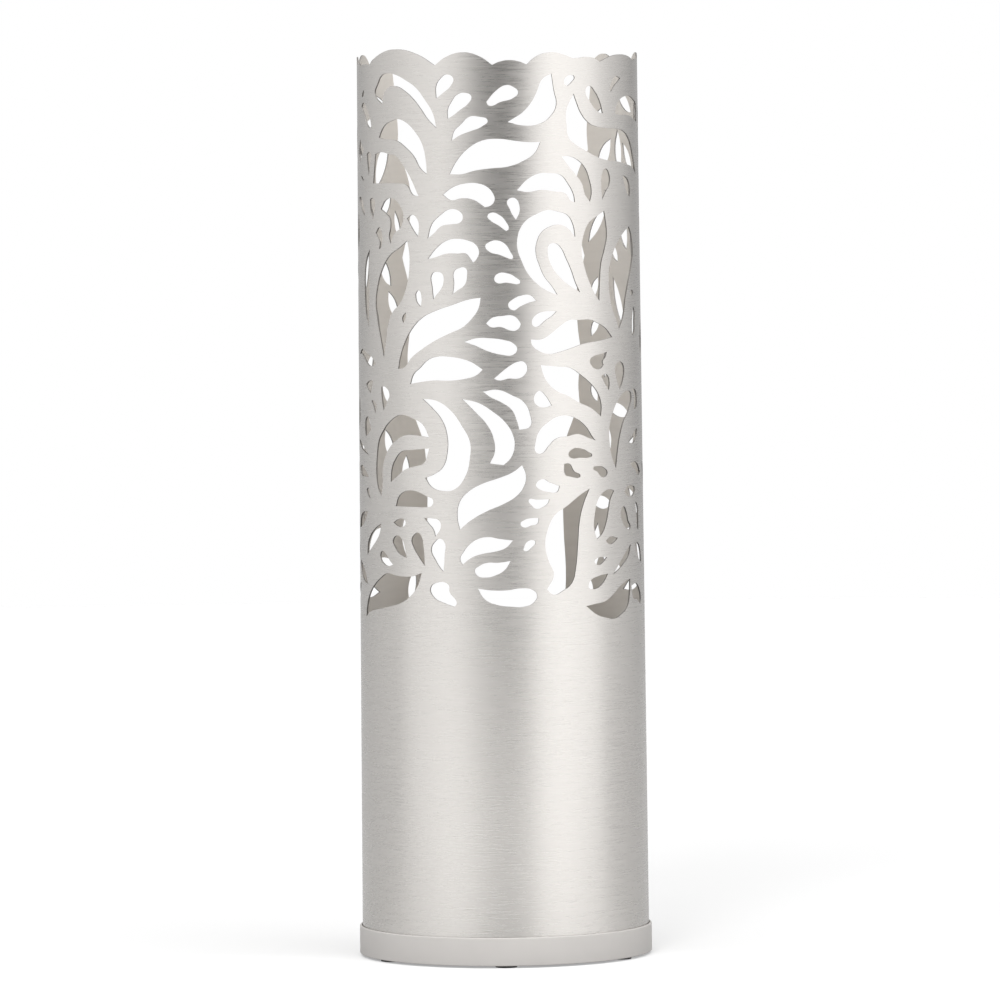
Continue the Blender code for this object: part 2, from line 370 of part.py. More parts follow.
# Radii that follow from the sleeve.
GROOVE_OUTER = sleeve_radius(SLEEVE_FOOT) + CLEARANCE
GROOVE_INNER = room_inside_sleeve(RING_TOP)
RING_RADIUS = GROOVE_OUTER + RING_WALL
RING_BORE = GROOVE_INNER - GROOVE_LIP - FLANGE_WIDTH
PAD_CIRCLE = RING_RADIUS - PAD_INSET
SCREW_CIRCLE = RING_BORE + SCREW_INSET
BALLAST_RADIUS = RING_BORE + BALLAST_OVERLAP
STUD_CIRCLE = BALLAST_RADIUS * STUD_CIRCLE_SHARE
TRAY_RADIUS = room_inside_sleeve(TOTAL_HEIGHT) - TRAY_LIP - TRAY_CLEARANCE
TRAY_FOOT_RADIUS = BALLAST_RADIUS - TRAY_FOOT_INSET

FINISHES = {
    "brushed_steel": ((0.62, 0.61, 0.59), 0.30, 1.0),
    "grey_plastic": ((0.56, 0.555, 0.545), 0.42, 0.0),
    "plated_steel": ((0.50, 0.50, 0.50), 0.35, 1.0),
    "cast_iron": ((0.05, 0.05, 0.055), 0.60, 0.3),
    "tray_plastic": ((0.10, 0.10, 0.105), 0.45, 0.0),
    "rubber": ((0.02, 0.02, 0.02), 0.80, 0.0),
}


def clear_scene():
    for obj in list(bpy.data.objects):
        bpy.data.objects.remove(obj, do_unlink=True)


def new_collection(name):
    collection = bpy.data.collections.new(name)
    bpy.context.scene.collection.children.link(collection)
    return collection


def finish_of(name):
    material = bpy.data.materials.get(name)
    if material is None:
        colour, roughness, metallic = FINISHES[name]
        material = bpy.data.materials.new(name)
        material.use_nodes = True
        shader = material.node_tree.nodes["Principled BSDF"]
        shader.inputs["Base Color"].default_value = (*colour, 1)
        shader.inputs["Roughness"].default_value = roughness
        shader.inputs["Metallic"].default_value = metallic
    return material


def add_object(name, mesh, finish, collection):
    obj = bpy.data.objects.new(name, mesh)
    if finish:
        mesh.materials.append(finish_of(finish))
    collection.objects.link(obj)
    return obj


def mesh_from(bm, name):
    mesh = bpy.data.meshes.new(name)
    bm.to_mesh(mesh)
    bm.free()
    return mesh


def on_circle(radius, bearing, z=0.0):
    """A point at a bearing round the stand."""
    angle = math.radians(bearing)
    return Vector((radius * math.sin(angle), -radius * math.cos(angle), z))


# ---- turned pieces -------------------------------------------------------------------------------


def turned(name, profile, finish, collection, steps=ROUND_STEPS):
    """A closed (radius, z) profile that runs down its outer side, turned about the stand's axis."""
    bm = bmesh.new()
    corners = [bm.verts.new((r, 0, z)) for r, z in profile]
    for start, end in zip(corners, corners[1:] + corners[:1]):
        bm.edges.new((start, end))
    obj = add_object(name, mesh_from(bm, name), finish, collection)
    screw = obj.modifiers.new("turn", "SCREW")
    screw.angle = 2 * math.pi
    screw.steps = screw.render_steps = steps
    screw.use_merge_vertices = True
    screw.merge_threshold = 0.00005
    screw.use_smooth_shade = True
    return obj


def cut(obj, cutter):
    boolean = obj.modifiers.new("cut " + cutter.name, "BOOLEAN")
    boolean.operation = "DIFFERENCE"
    boolean.object = cutter


def cylinder_mesh(name, radius, height, steps=SMALL_STEPS):
    """A cylinder that stands on z = 0."""
    bm = bmesh.new()
    bmesh.ops.create_cone(bm, cap_ends=True, segments=steps, radius1=radius, radius2=radius, depth=height)
    bmesh.ops.translate(bm, verts=bm.verts, vec=(0, 0, height / 2))
    return mesh_from(bm, name)


def box_mesh(name, size):
    bm = bmesh.new()
    bmesh.ops.create_cube(bm, size=1)
    bmesh.ops.scale(bm, verts=bm.verts, vec=size)
    return mesh_from(bm, name)


def add_cutter(name, mesh, collection, location=(0, 0, 0), turn=0.0):
    cutter = add_object(name, mesh, None, collection)
    cutter.location = location
    cutter.rotation_euler.z = turn
    cutter.hide_render = True
    cutter.display_type = "WIRE"
    return cutter


def joined_cutter(name, mesh, places, collection):
    """One cutter made of copies of a mesh at several places."""
    bm = bmesh.new()
    for place in places:
        copy = bmesh.new()
        copy.from_mesh(mesh)
        bmesh.ops.translate(copy, verts=copy.verts, vec=place)
        shifted = mesh_from(copy, name + "_copy")
        bm.from_mesh(shifted)
        bpy.data.meshes.remove(shifted)
    return add_cutter(name, mesh_from(bm, name), collection)


def ring_of_places(count, radius, z, first=0.0):
    return [on_circle(radius, first + 360 * i / count, z) for i in range(count)]


# ---- the pierced sleeve --------------------------------------------------------------------------


def flat(bearing, height):
    """A drawn point on the flat blank, in metres."""
    return math.radians(bearing) * DRAWN_RADIUS, height * TOTAL_HEIGHT / DRAWN_HEIGHT


def leaf_outline(bearing, height, length, width, lean):
    """A leaf with two sharp tips, bowed a little to one side, as a drawn outline."""
    shape = [(0, 0.5, T), (0.44, 0.14, False), (0.4, -0.22, False),
             (0, -0.5, T), (-0.3, -0.16, False), (-0.3, 0.18, False)]
    angle = math.radians(lean)
    millimetre = 1 / (math.radians(1) * DRAWN_RADIUS * 1000)  # degrees of bearing per millimetre
    outline = []
    for across, along, sharp in shape:
        x = across * width * math.cos(angle) + along * length * math.sin(angle)
        y = along * length * math.cos(angle) - across * width * math.sin(angle)
        outline.append((bearing + x * millimetre, height + y, sharp))
    return outline


def add_outline(curve, points, steps):
    """A closed spline through drawn points (bearing, height[, sharp])."""
    spline = curve.splines.new("BEZIER")
    spline.bezier_points.add(len(points) - 1)
    spline.use_cyclic_u = True
    spline.resolution_u = steps
    for knot, point in zip(spline.bezier_points, points):
        knot.co = (*flat(point[0], point[1]), 0)
        sharp = len(point) > 2 and point[2]
        knot.handle_left_type = knot.handle_right_type = "VECTOR" if sharp else "AUTO"


def rim_points():
    """The scallops, from the left edge of the open back round the front to the right edge."""
    points = []
    ends = RIM[1:] + [(*RIM_END, 0)]
    for (start, low, crown), (end, next_low, _) in zip(RIM, ends):
        points.append((start, low, T))
        for share in (0.2, 0.5, 0.8):
            foot = low + (next_low - low) * share
            points.append((start + (end - start) * share, foot + (crown - foot) * (1 - (2 * share - 1) ** 2)))
    return points + [(*RIM_END, T)]


def blank_points():
    """The outside of the flat blank, counter-clockwise from the foot of the seam on the left."""
    half_gap = math.degrees(SEAM_GAP / 2 / SLEEVE_RADIUS)
    left, right = REAR_BEARING - 360 + half_gap, REAR_BEARING - half_gap
    foot = SLEEVE_FOOT / TOTAL_HEIGHT * DRAWN_HEIGHT
    edge = [(half, height, len(rest) > 0) for half, height, *rest in REAR_EDGE]
    right_edge = [(REAR_BEARING - half, height, sharp) for half, height, sharp in edge[1:]]
    left_edge = [(REAR_BEARING - 360 + half, height, sharp) for half, height, sharp in edge[1:]]
    seam_top = edge[0][1]
    return (
        [(left, foot, T), (right, foot, T), (right, seam_top, T)]
        + right_edge
        + list(reversed(rim_points()))
        + list(reversed(left_edge))
        + [(left, seam_top, T)]
    )


def sleeve_blank():
    """The flat, pierced blank as a mesh of the sheet's thickness."""
    curve = bpy.data.curves.new("sleeve_blank", "CURVE")
    curve.dimensions = "2D"
    curve.fill_mode = "BOTH"
    curve.extrude = SHEET / 2
    add_outline(curve, blank_points(), 1)
    for outline in CUT_OUTS.values():
        add_outline(curve, outline, 1)
    for leaf in FLANK_LEAVES:
        add_outline(curve, leaf_outline(*leaf), 1)
    obj = bpy.data.objects.new("sleeve_blank", curve)
    bpy.context.scene.collection.objects.link(obj)
    bpy.context.view_layer.update()
    mesh = bpy.data.meshes.new_from_object(obj.evaluated_get(bpy.context.evaluated_depsgraph_get()))
    bpy.data.objects.remove(obj, do_unlink=True)
    return mesh


def build_sleeve(collection):
    bm = bmesh.new()
    bm.from_mesh(sleeve_blank())
    bmesh.ops.remove_doubles(bm, verts=bm.verts, dist=1e-6)
    strips = int(360 / FACET_DEGREES)
    for i in range(-strips // 2, strips // 2 + 2):
        where = Vector((*flat(i * FACET_DEGREES, 0), 0))
        bmesh.ops.bisect_plane(
            bm, geom=bm.verts[:] + bm.edges[:] + bm.faces[:], dist=1e-6, plane_co=where, plane_no=(1, 0, 0)
        )
    for vert in bm.verts:
        across, height, depth = vert.co
        radius = sleeve_radius(height) - SHEET / 2 + depth
        strip, share = divmod(math.degrees(across / DRAWN_RADIUS), FACET_DEGREES)
        start = on_circle(radius, strip * FACET_DEGREES, height)
        end = on_circle(radius, (strip + 1) * FACET_DEGREES, height)
        vert.co = start.lerp(end, share / FACET_DEGREES)
    bm.normal_update()
    flat_within = math.radians(1)
    bmesh.ops.dissolve_limit(bm, angle_limit=flat_within, verts=bm.verts, edges=bm.edges)
    bmesh.ops.triangulate(bm, faces=bm.faces)
    bmesh.ops.recalc_face_normals(bm, faces=bm.faces)
    return add_object("sleeve", mesh_from(bm, "sleeve"), "brushed_steel", collection)


# ---- the foot ------------------------------------------------------------------------------------


def build_base_ring(collection, cutters):
    """The plastic ring: an outer wall, a groove for the sleeve, a lip and an inward flange."""
    lip_top = RING_TOP - 0.0014
    profile = [(GROOVE_OUTER, RING_TOP), (RING_RADIUS - RING_EDGE, RING_TOP)]
    for share in (0.33, 0.67, 1.0):
        angle = share * math.pi / 2
        profile.append((
            RING_RADIUS - RING_EDGE * (1 - math.sin(angle)),
            RING_TOP - RING_EDGE * (1 - math.cos(angle)),
        ))
    profile += [
        (RING_RADIUS, RING_STAND_OFF + RING_EDGE / 2),
        (RING_RADIUS - RING_EDGE / 2, RING_STAND_OFF),
        (RING_BORE, RING_STAND_OFF),
        (RING_BORE, FLANGE_TOP),
        (GROOVE_INNER - GROOVE_LIP, FLANGE_TOP),
        (GROOVE_INNER - GROOVE_LIP, lip_top),
        (GROOVE_INNER, lip_top),
        (GROOVE_INNER, SLEEVE_FOOT - CLEARANCE),
        (GROOVE_OUTER, SLEEVE_FOOT - CLEARANCE),
    ]
    ring = turned("base_ring", profile, "grey_plastic", collection)
    pocket = cylinder_mesh("pad_pocket", PAD_RADIUS + CLEARANCE, PAD_POCKET + CLEARANCE + 0.002)
    pockets = ring_of_places(PAD_COUNT, PAD_CIRCLE, RING_STAND_OFF - 0.002)
    cut(ring, joined_cutter("pad_pockets", pocket, pockets, cutters))
    head_room = SCREW_HEAD_HEIGHT + 2 * CLEARANCE
    counterbore = cylinder_mesh("screw_counterbore", SCREW_HEAD_RADIUS + CLEARANCE, head_room + 0.002)
    screw_places = ring_of_places(SCREW_COUNT, SCREW_CIRCLE, RING_STAND_OFF - 0.002, SCREW_FIRST)
    cut(ring, joined_cutter("screw_counterbores", counterbore, screw_places, cutters))
    hole = cylinder_mesh("screw_hole", SCREW_SHANK_RADIUS + CLEARANCE, 0.030)
    hole_places = ring_of_places(SCREW_COUNT, SCREW_CIRCLE, -0.005, SCREW_FIRST)
    cut(ring, joined_cutter("screw_holes", hole, hole_places, cutters))


def build_bottom_pan(collection, cutters):
    """The pressed pan: a floor on the ring's flange, and a collar welded inside the sleeve."""
    wall = GROOVE_INNER - GROOVE_LIP - CLEARANCE
    collar = room_inside_sleeve(PAN_COLLAR_TOP)
    profile = [
        (collar, PAN_COLLAR_TOP),
        (collar, PAN_STEP - CLEARANCE),
        (wall, PAN_STEP - CLEARANCE),
        (wall, PAN_FLOOR),
        (0.0, PAN_FLOOR),
        (0.0, PAN_TOP),
        (wall - PAN_SHEET, PAN_TOP),
        (wall - PAN_SHEET, PAN_STEP - CLEARANCE + PAN_SHEET),
        (collar - PAN_SHEET, PAN_STEP - CLEARANCE + PAN_SHEET),
        (collar - PAN_SHEET, PAN_COLLAR_TOP),
    ]
    pan = turned("bottom_pan", profile, "plated_steel", collection)
    hole = cylinder_mesh("pan_screw_hole", SCREW_SHANK_RADIUS + CLEARANCE, 0.010)
    places = ring_of_places(SCREW_COUNT, SCREW_CIRCLE, PAN_FLOOR - 0.004, SCREW_FIRST)
    cut(pan, joined_cutter("pan_screw_holes", hole, places, cutters))


def build_ballast(collection, cutters):
    profile = [
        (BALLAST_RADIUS - 0.001, BALLAST_TOP),
        (BALLAST_RADIUS, BALLAST_TOP - 0.001),
        (BALLAST_RADIUS, PAN_TOP + CLEARANCE),
        (0.0, PAN_TOP + CLEARANCE),
        (0.0, BALLAST_TOP),
    ]
    plate = turned("ballast_plate", profile, "cast_iron", collection)
    hole = cylinder_mesh("stud_hole", STUD_HOLE_RADIUS, BALLAST_THICKNESS + 0.01)
    places = ring_of_places(STUD_COUNT, STUD_CIRCLE, PAN_TOP - 0.004)
    cut(plate, joined_cutter("stud_holes", hole, places, cutters))


def ring_mesh(name, outer, inner, height, steps, sides=None):
    """A flat ring that stands on z = 0; with sides, its outside is a polygon of that many flats."""
    bm = bmesh.new()
    outside, inside = [], []
    for i in range(steps):
        angle = 2 * math.pi * i / steps
        reach = outer
        if sides:
            flat_angle = (angle + math.pi / sides) % (2 * math.pi / sides) - math.pi / sides
            reach = outer / math.cos(flat_angle)
        outside.append(bm.verts.new((reach * math.cos(angle), reach * math.sin(angle), 0)))
        inside.append(bm.verts.new((inner * math.cos(angle), inner * math.sin(angle), 0)))
    for i in range(steps):
        j = (i + 1) % steps
        bm.faces.new((outside[i], inside[i], inside[j], outside[j]))
    extruded = bmesh.ops.extrude_face_region(bm, geom=bm.faces[:])
    raised = [item for item in extruded["geom"] if isinstance(item, bmesh.types.BMVert)]
    bmesh.ops.translate(bm, verts=raised, vec=(0, 0, height))
    bmesh.ops.recalc_face_normals(bm, faces=bm.faces)
    return mesh_from(bm, name)


def build_ballast_fixings(collection):
    """Three weld studs on the pan, each with a washer and a nut that hold the ballast down."""
    foot = PAN_TOP + CLEARANCE
    stud = cylinder_mesh("stud", STUD_RADIUS, STUD_TOP - foot)
    bore = STUD_RADIUS + CLEARANCE
    washer = ring_mesh("washer", WASHER_RADIUS, bore, WASHER_THICKNESS, 24)
    nut = ring_mesh("nut", NUT_ACROSS_FLATS / 2, bore, NUT_HEIGHT, 24, sides=6)
    stacks = (
        ("pan_stud", stud, foot),
        ("stud_washer", washer, WASHER_FLOOR),
        ("stud_nut", nut, NUT_FLOOR),
    )
    for name, mesh, z in stacks:
        mesh.materials.append(finish_of("plated_steel"))
        for i, place in enumerate(ring_of_places(STUD_COUNT, STUD_CIRCLE, z)):
            add_object(f"{name}_{i + 1}", mesh, None, collection).location = place


def build_ring_screws(collection):
    """Self-tapping screws that hold the plastic ring up against the pan."""
    head_floor = RING_STAND_OFF + CLEARANCE
    bm = bmesh.new()
    profile = [
        (SCREW_SHANK_RADIUS, SCREW_HEAD_HEIGHT + SCREW_LENGTH),
        (SCREW_SHANK_RADIUS, SCREW_HEAD_HEIGHT),
        (SCREW_HEAD_RADIUS, SCREW_HEAD_HEIGHT),
        (SCREW_HEAD_RADIUS, SCREW_HEAD_HEIGHT * 0.4),
        (SCREW_HEAD_RADIUS * 0.7, 0),
    ]
    rows = [[bm.verts.new((r * math.cos(a), r * math.sin(a), z)) for a in
             (2 * math.pi * i / SMALL_STEPS for i in range(SMALL_STEPS))] for r, z in profile]
    for upper, lower in zip(rows, rows[1:]):
        for i in range(SMALL_STEPS):
            j = (i + 1) % SMALL_STEPS
            bm.faces.new((upper[i], lower[i], lower[j], upper[j]))
    bm.faces.new(rows[0])
    bm.faces.new(list(reversed(rows[-1])))
    bmesh.ops.recalc_face_normals(bm, faces=bm.faces)
    mesh = mesh_from(bm, "ring_screw")
    mesh.materials.append(finish_of("plated_steel"))
    for i, place in enumerate(ring_of_places(SCREW_COUNT, SCREW_CIRCLE, head_floor, SCREW_FIRST)):
        add_object(f"ring_screw_{i + 1}", mesh, None, collection).location = place


def build_rubber_pads(collection):
    mesh = cylinder_mesh("rubber_pad", PAD_RADIUS, RING_STAND_OFF + PAD_POCKET, steps=24)
    mesh.materials.append(finish_of("rubber"))
    for i, place in enumerate(ring_of_places(PAD_COUNT, PAD_CIRCLE, 0)):
        add_object(f"rubber_pad_{i + 1}", mesh, None, collection).location = place


def build_drip_tray(collection, cutters):
    """The moulded cup that stands on the ballast plate and lifts out by two finger slots."""
    foot_top = TRAY_FLOOR + TRAY_WALL
    foot_half = 0.0015
    inner = TRAY_RADIUS - TRAY_WALL
    floor_corner = 0.003  # rounding where the wall meets the floor
    profile = [
        (inner, TRAY_TOP),
        (TRAY_RADIUS + TRAY_LIP, TRAY_TOP),
        (TRAY_RADIUS + TRAY_LIP, TRAY_TOP - 0.0025),
        (TRAY_RADIUS, TRAY_TOP - 0.0025),
        (TRAY_RADIUS, TRAY_FLOOR + floor_corner),
        (TRAY_RADIUS - floor_corner, TRAY_FLOOR),
        (TRAY_FOOT_RADIUS + foot_half, TRAY_FLOOR),
        (TRAY_FOOT_RADIUS + foot_half, BALLAST_TOP + CLEARANCE),
        (TRAY_FOOT_RADIUS - foot_half, BALLAST_TOP + CLEARANCE),
        (TRAY_FOOT_RADIUS - foot_half, TRAY_FLOOR),
        (0.0, TRAY_FLOOR),
        (0.0, foot_top),
        (inner - floor_corner, foot_top),
        (inner, foot_top + floor_corner),
    ]
    tray = turned("drip_tray", profile, "tray_plastic", collection)
    rib_length = TRAY_FOOT_RADIUS - 0.016
    rib = box_mesh("tray_rib", (rib_length, 0.0022, TRAY_RIB_HEIGHT + 0.001))
    for i in range(TRAY_RIB_COUNT):
        bearing = 360 * (i + 0.5) / TRAY_RIB_COUNT
        place = on_circle(0.016 + rib_length / 2, bearing, foot_top + (TRAY_RIB_HEIGHT - 0.001) / 2)
        helper = add_cutter(f"tray_rib_{i + 1}", rib, cutters, place, math.radians(bearing - 90))
        union = tray.modifiers.new(f"rib {i + 1}", "BOOLEAN")
        union.operation = "UNION"
        union.object = helper
    slot_z = TRAY_TOP - 0.0055 - GRIP_HEIGHT / 2
    slot = box_mesh("grip_slot", (GRIP_LENGTH, 3 * TRAY_RADIUS, GRIP_HEIGHT))
    cut(tray, add_cutter("grip_slots", slot, cutters, (0, 0, slot_z)))


def main():
    clear_scene()
    parts = new_collection("umbrella_stand")
    cutters = new_collection("cutters")
    build_sleeve(parts)
    build_base_ring(parts, cutters)
    build_bottom_pan(parts, cutters)
    build_ballast(parts, cutters)
    build_ballast_fixings(parts)
    build_ring_screws(parts)
    build_rubber_pads(parts)
    build_drip_tray(parts, cutters)


main()
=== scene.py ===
"""Pierced umbrella stand: a rolled and laser-cut steel sleeve on a grey plastic base ring, with a
ballast plate in its foot and a drip tray that lifts out.

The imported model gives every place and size. This file builds the finished surfaces around it.
Metres, +Z up, the front of the sleeve faces -Y. A bearing goes round the stand in degrees from the
front, positive towards +X.
"""

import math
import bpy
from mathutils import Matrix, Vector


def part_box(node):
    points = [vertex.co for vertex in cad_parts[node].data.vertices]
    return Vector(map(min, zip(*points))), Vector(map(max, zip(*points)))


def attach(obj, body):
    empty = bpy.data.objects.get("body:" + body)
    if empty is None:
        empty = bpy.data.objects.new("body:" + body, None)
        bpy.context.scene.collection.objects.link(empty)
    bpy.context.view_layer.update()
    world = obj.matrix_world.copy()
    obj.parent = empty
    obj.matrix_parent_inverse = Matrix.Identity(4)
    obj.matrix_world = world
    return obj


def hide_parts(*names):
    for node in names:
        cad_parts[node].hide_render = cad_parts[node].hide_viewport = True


bl_info = {
    "name": "Pierced Umbrella Stand",
    "version": (1, 0, 0),
    "blender": (4, 5, 0),
    "location": "View3D > Sidebar > Umbrella Stand",
    "description": "Builds a pierced steel umbrella stand around its packed model",
    "category": "Add Mesh",
}

import bmesh
import bpy
from bpy.props import FloatProperty, FloatVectorProperty, IntProperty, PointerProperty
from mathutils import Matrix, Vector

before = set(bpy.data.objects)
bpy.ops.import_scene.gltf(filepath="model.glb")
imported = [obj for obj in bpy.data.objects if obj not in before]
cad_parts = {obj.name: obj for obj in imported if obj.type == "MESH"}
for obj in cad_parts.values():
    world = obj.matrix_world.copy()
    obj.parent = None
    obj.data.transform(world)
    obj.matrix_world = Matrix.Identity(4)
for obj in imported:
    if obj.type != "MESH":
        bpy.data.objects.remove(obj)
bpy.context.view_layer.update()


def box_of(node):
    """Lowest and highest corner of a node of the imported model."""
    low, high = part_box(node)
    return Vector(low), Vector(high)


def middle_of(node):
    """The middle of a node's underside."""
    low, high = box_of(node)
    return Vector(((low.x + high.x) / 2, (low.y + high.y) / 2, low.z))


def nodes_named(stem):
    """The nodes of a repeated piece, in order."""
    return sorted(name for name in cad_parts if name.startswith(stem))


TOTAL_HEIGHT = box_of("sleeve")[1].z
SLEEVE_FOOT = box_of("sleeve")[0].z
RING_LOW, RING_HIGH = box_of("base_ring")
PAN_LOW, PAN_HIGH = box_of("bottom_pan")
BALLAST_LOW, BALLAST_HIGH = box_of("ballast_plate")
TRAY_LOW, TRAY_HIGH = box_of("drip_tray")

GAP = 0.0003  # between pieces that touch
T = True  # marks a sharp tip; the other points are rounded through

# The cut pattern is drawn for a stand DRAWN_HEIGHT tall, in degrees of bearing and millimetres of
# height above the floor, and it stretches with the stand.
DRAWN_HEIGHT = 500
DRAWN_RADIUS = 0.078  # turns bearings into a flat width while the pattern is drawn
REAR_BEARING = 183  # middle of the open back, opposite the front of the pattern

# The scalloped rim: each valley as (bearing, height), and the crown of the scallop after it.
RIM = [
    (-130, 491, 496), (-113, 491, 497), (-97, 491, 496), (-83, 491.5, 492.5), (-76, 490.5, 492),
    (-65, 491.5, 500), (-26, 491, 498), (-2, 491, 493.5), (12, 491, 497.5), (32.5, 494, 494.8),
    (46.5, 492, 496), (75, 492.5, 493.5), (86, 492, 497), (106, 491, 495.5), (122, 491, 496.5),
]
RIM_END = (137, 491)

# The edge of the open back: half its width as a bearing from its middle, and the height.
REAR_EDGE = [
    (0, 168, T), (18, 168), (27, 176), (30, 195), (29.5, 235), (29.5, 262), (31, 280), (34.5, 292),
    (38, 302, T), (37.5, 313), (39, 327), (37.5, 345), (37, 362), (41.5, 384, T), (38, 400),
    (36.5, 415), (38.5, 430), (44, 443, T), (43.5, 455), (45, 470), (46, 482),
]

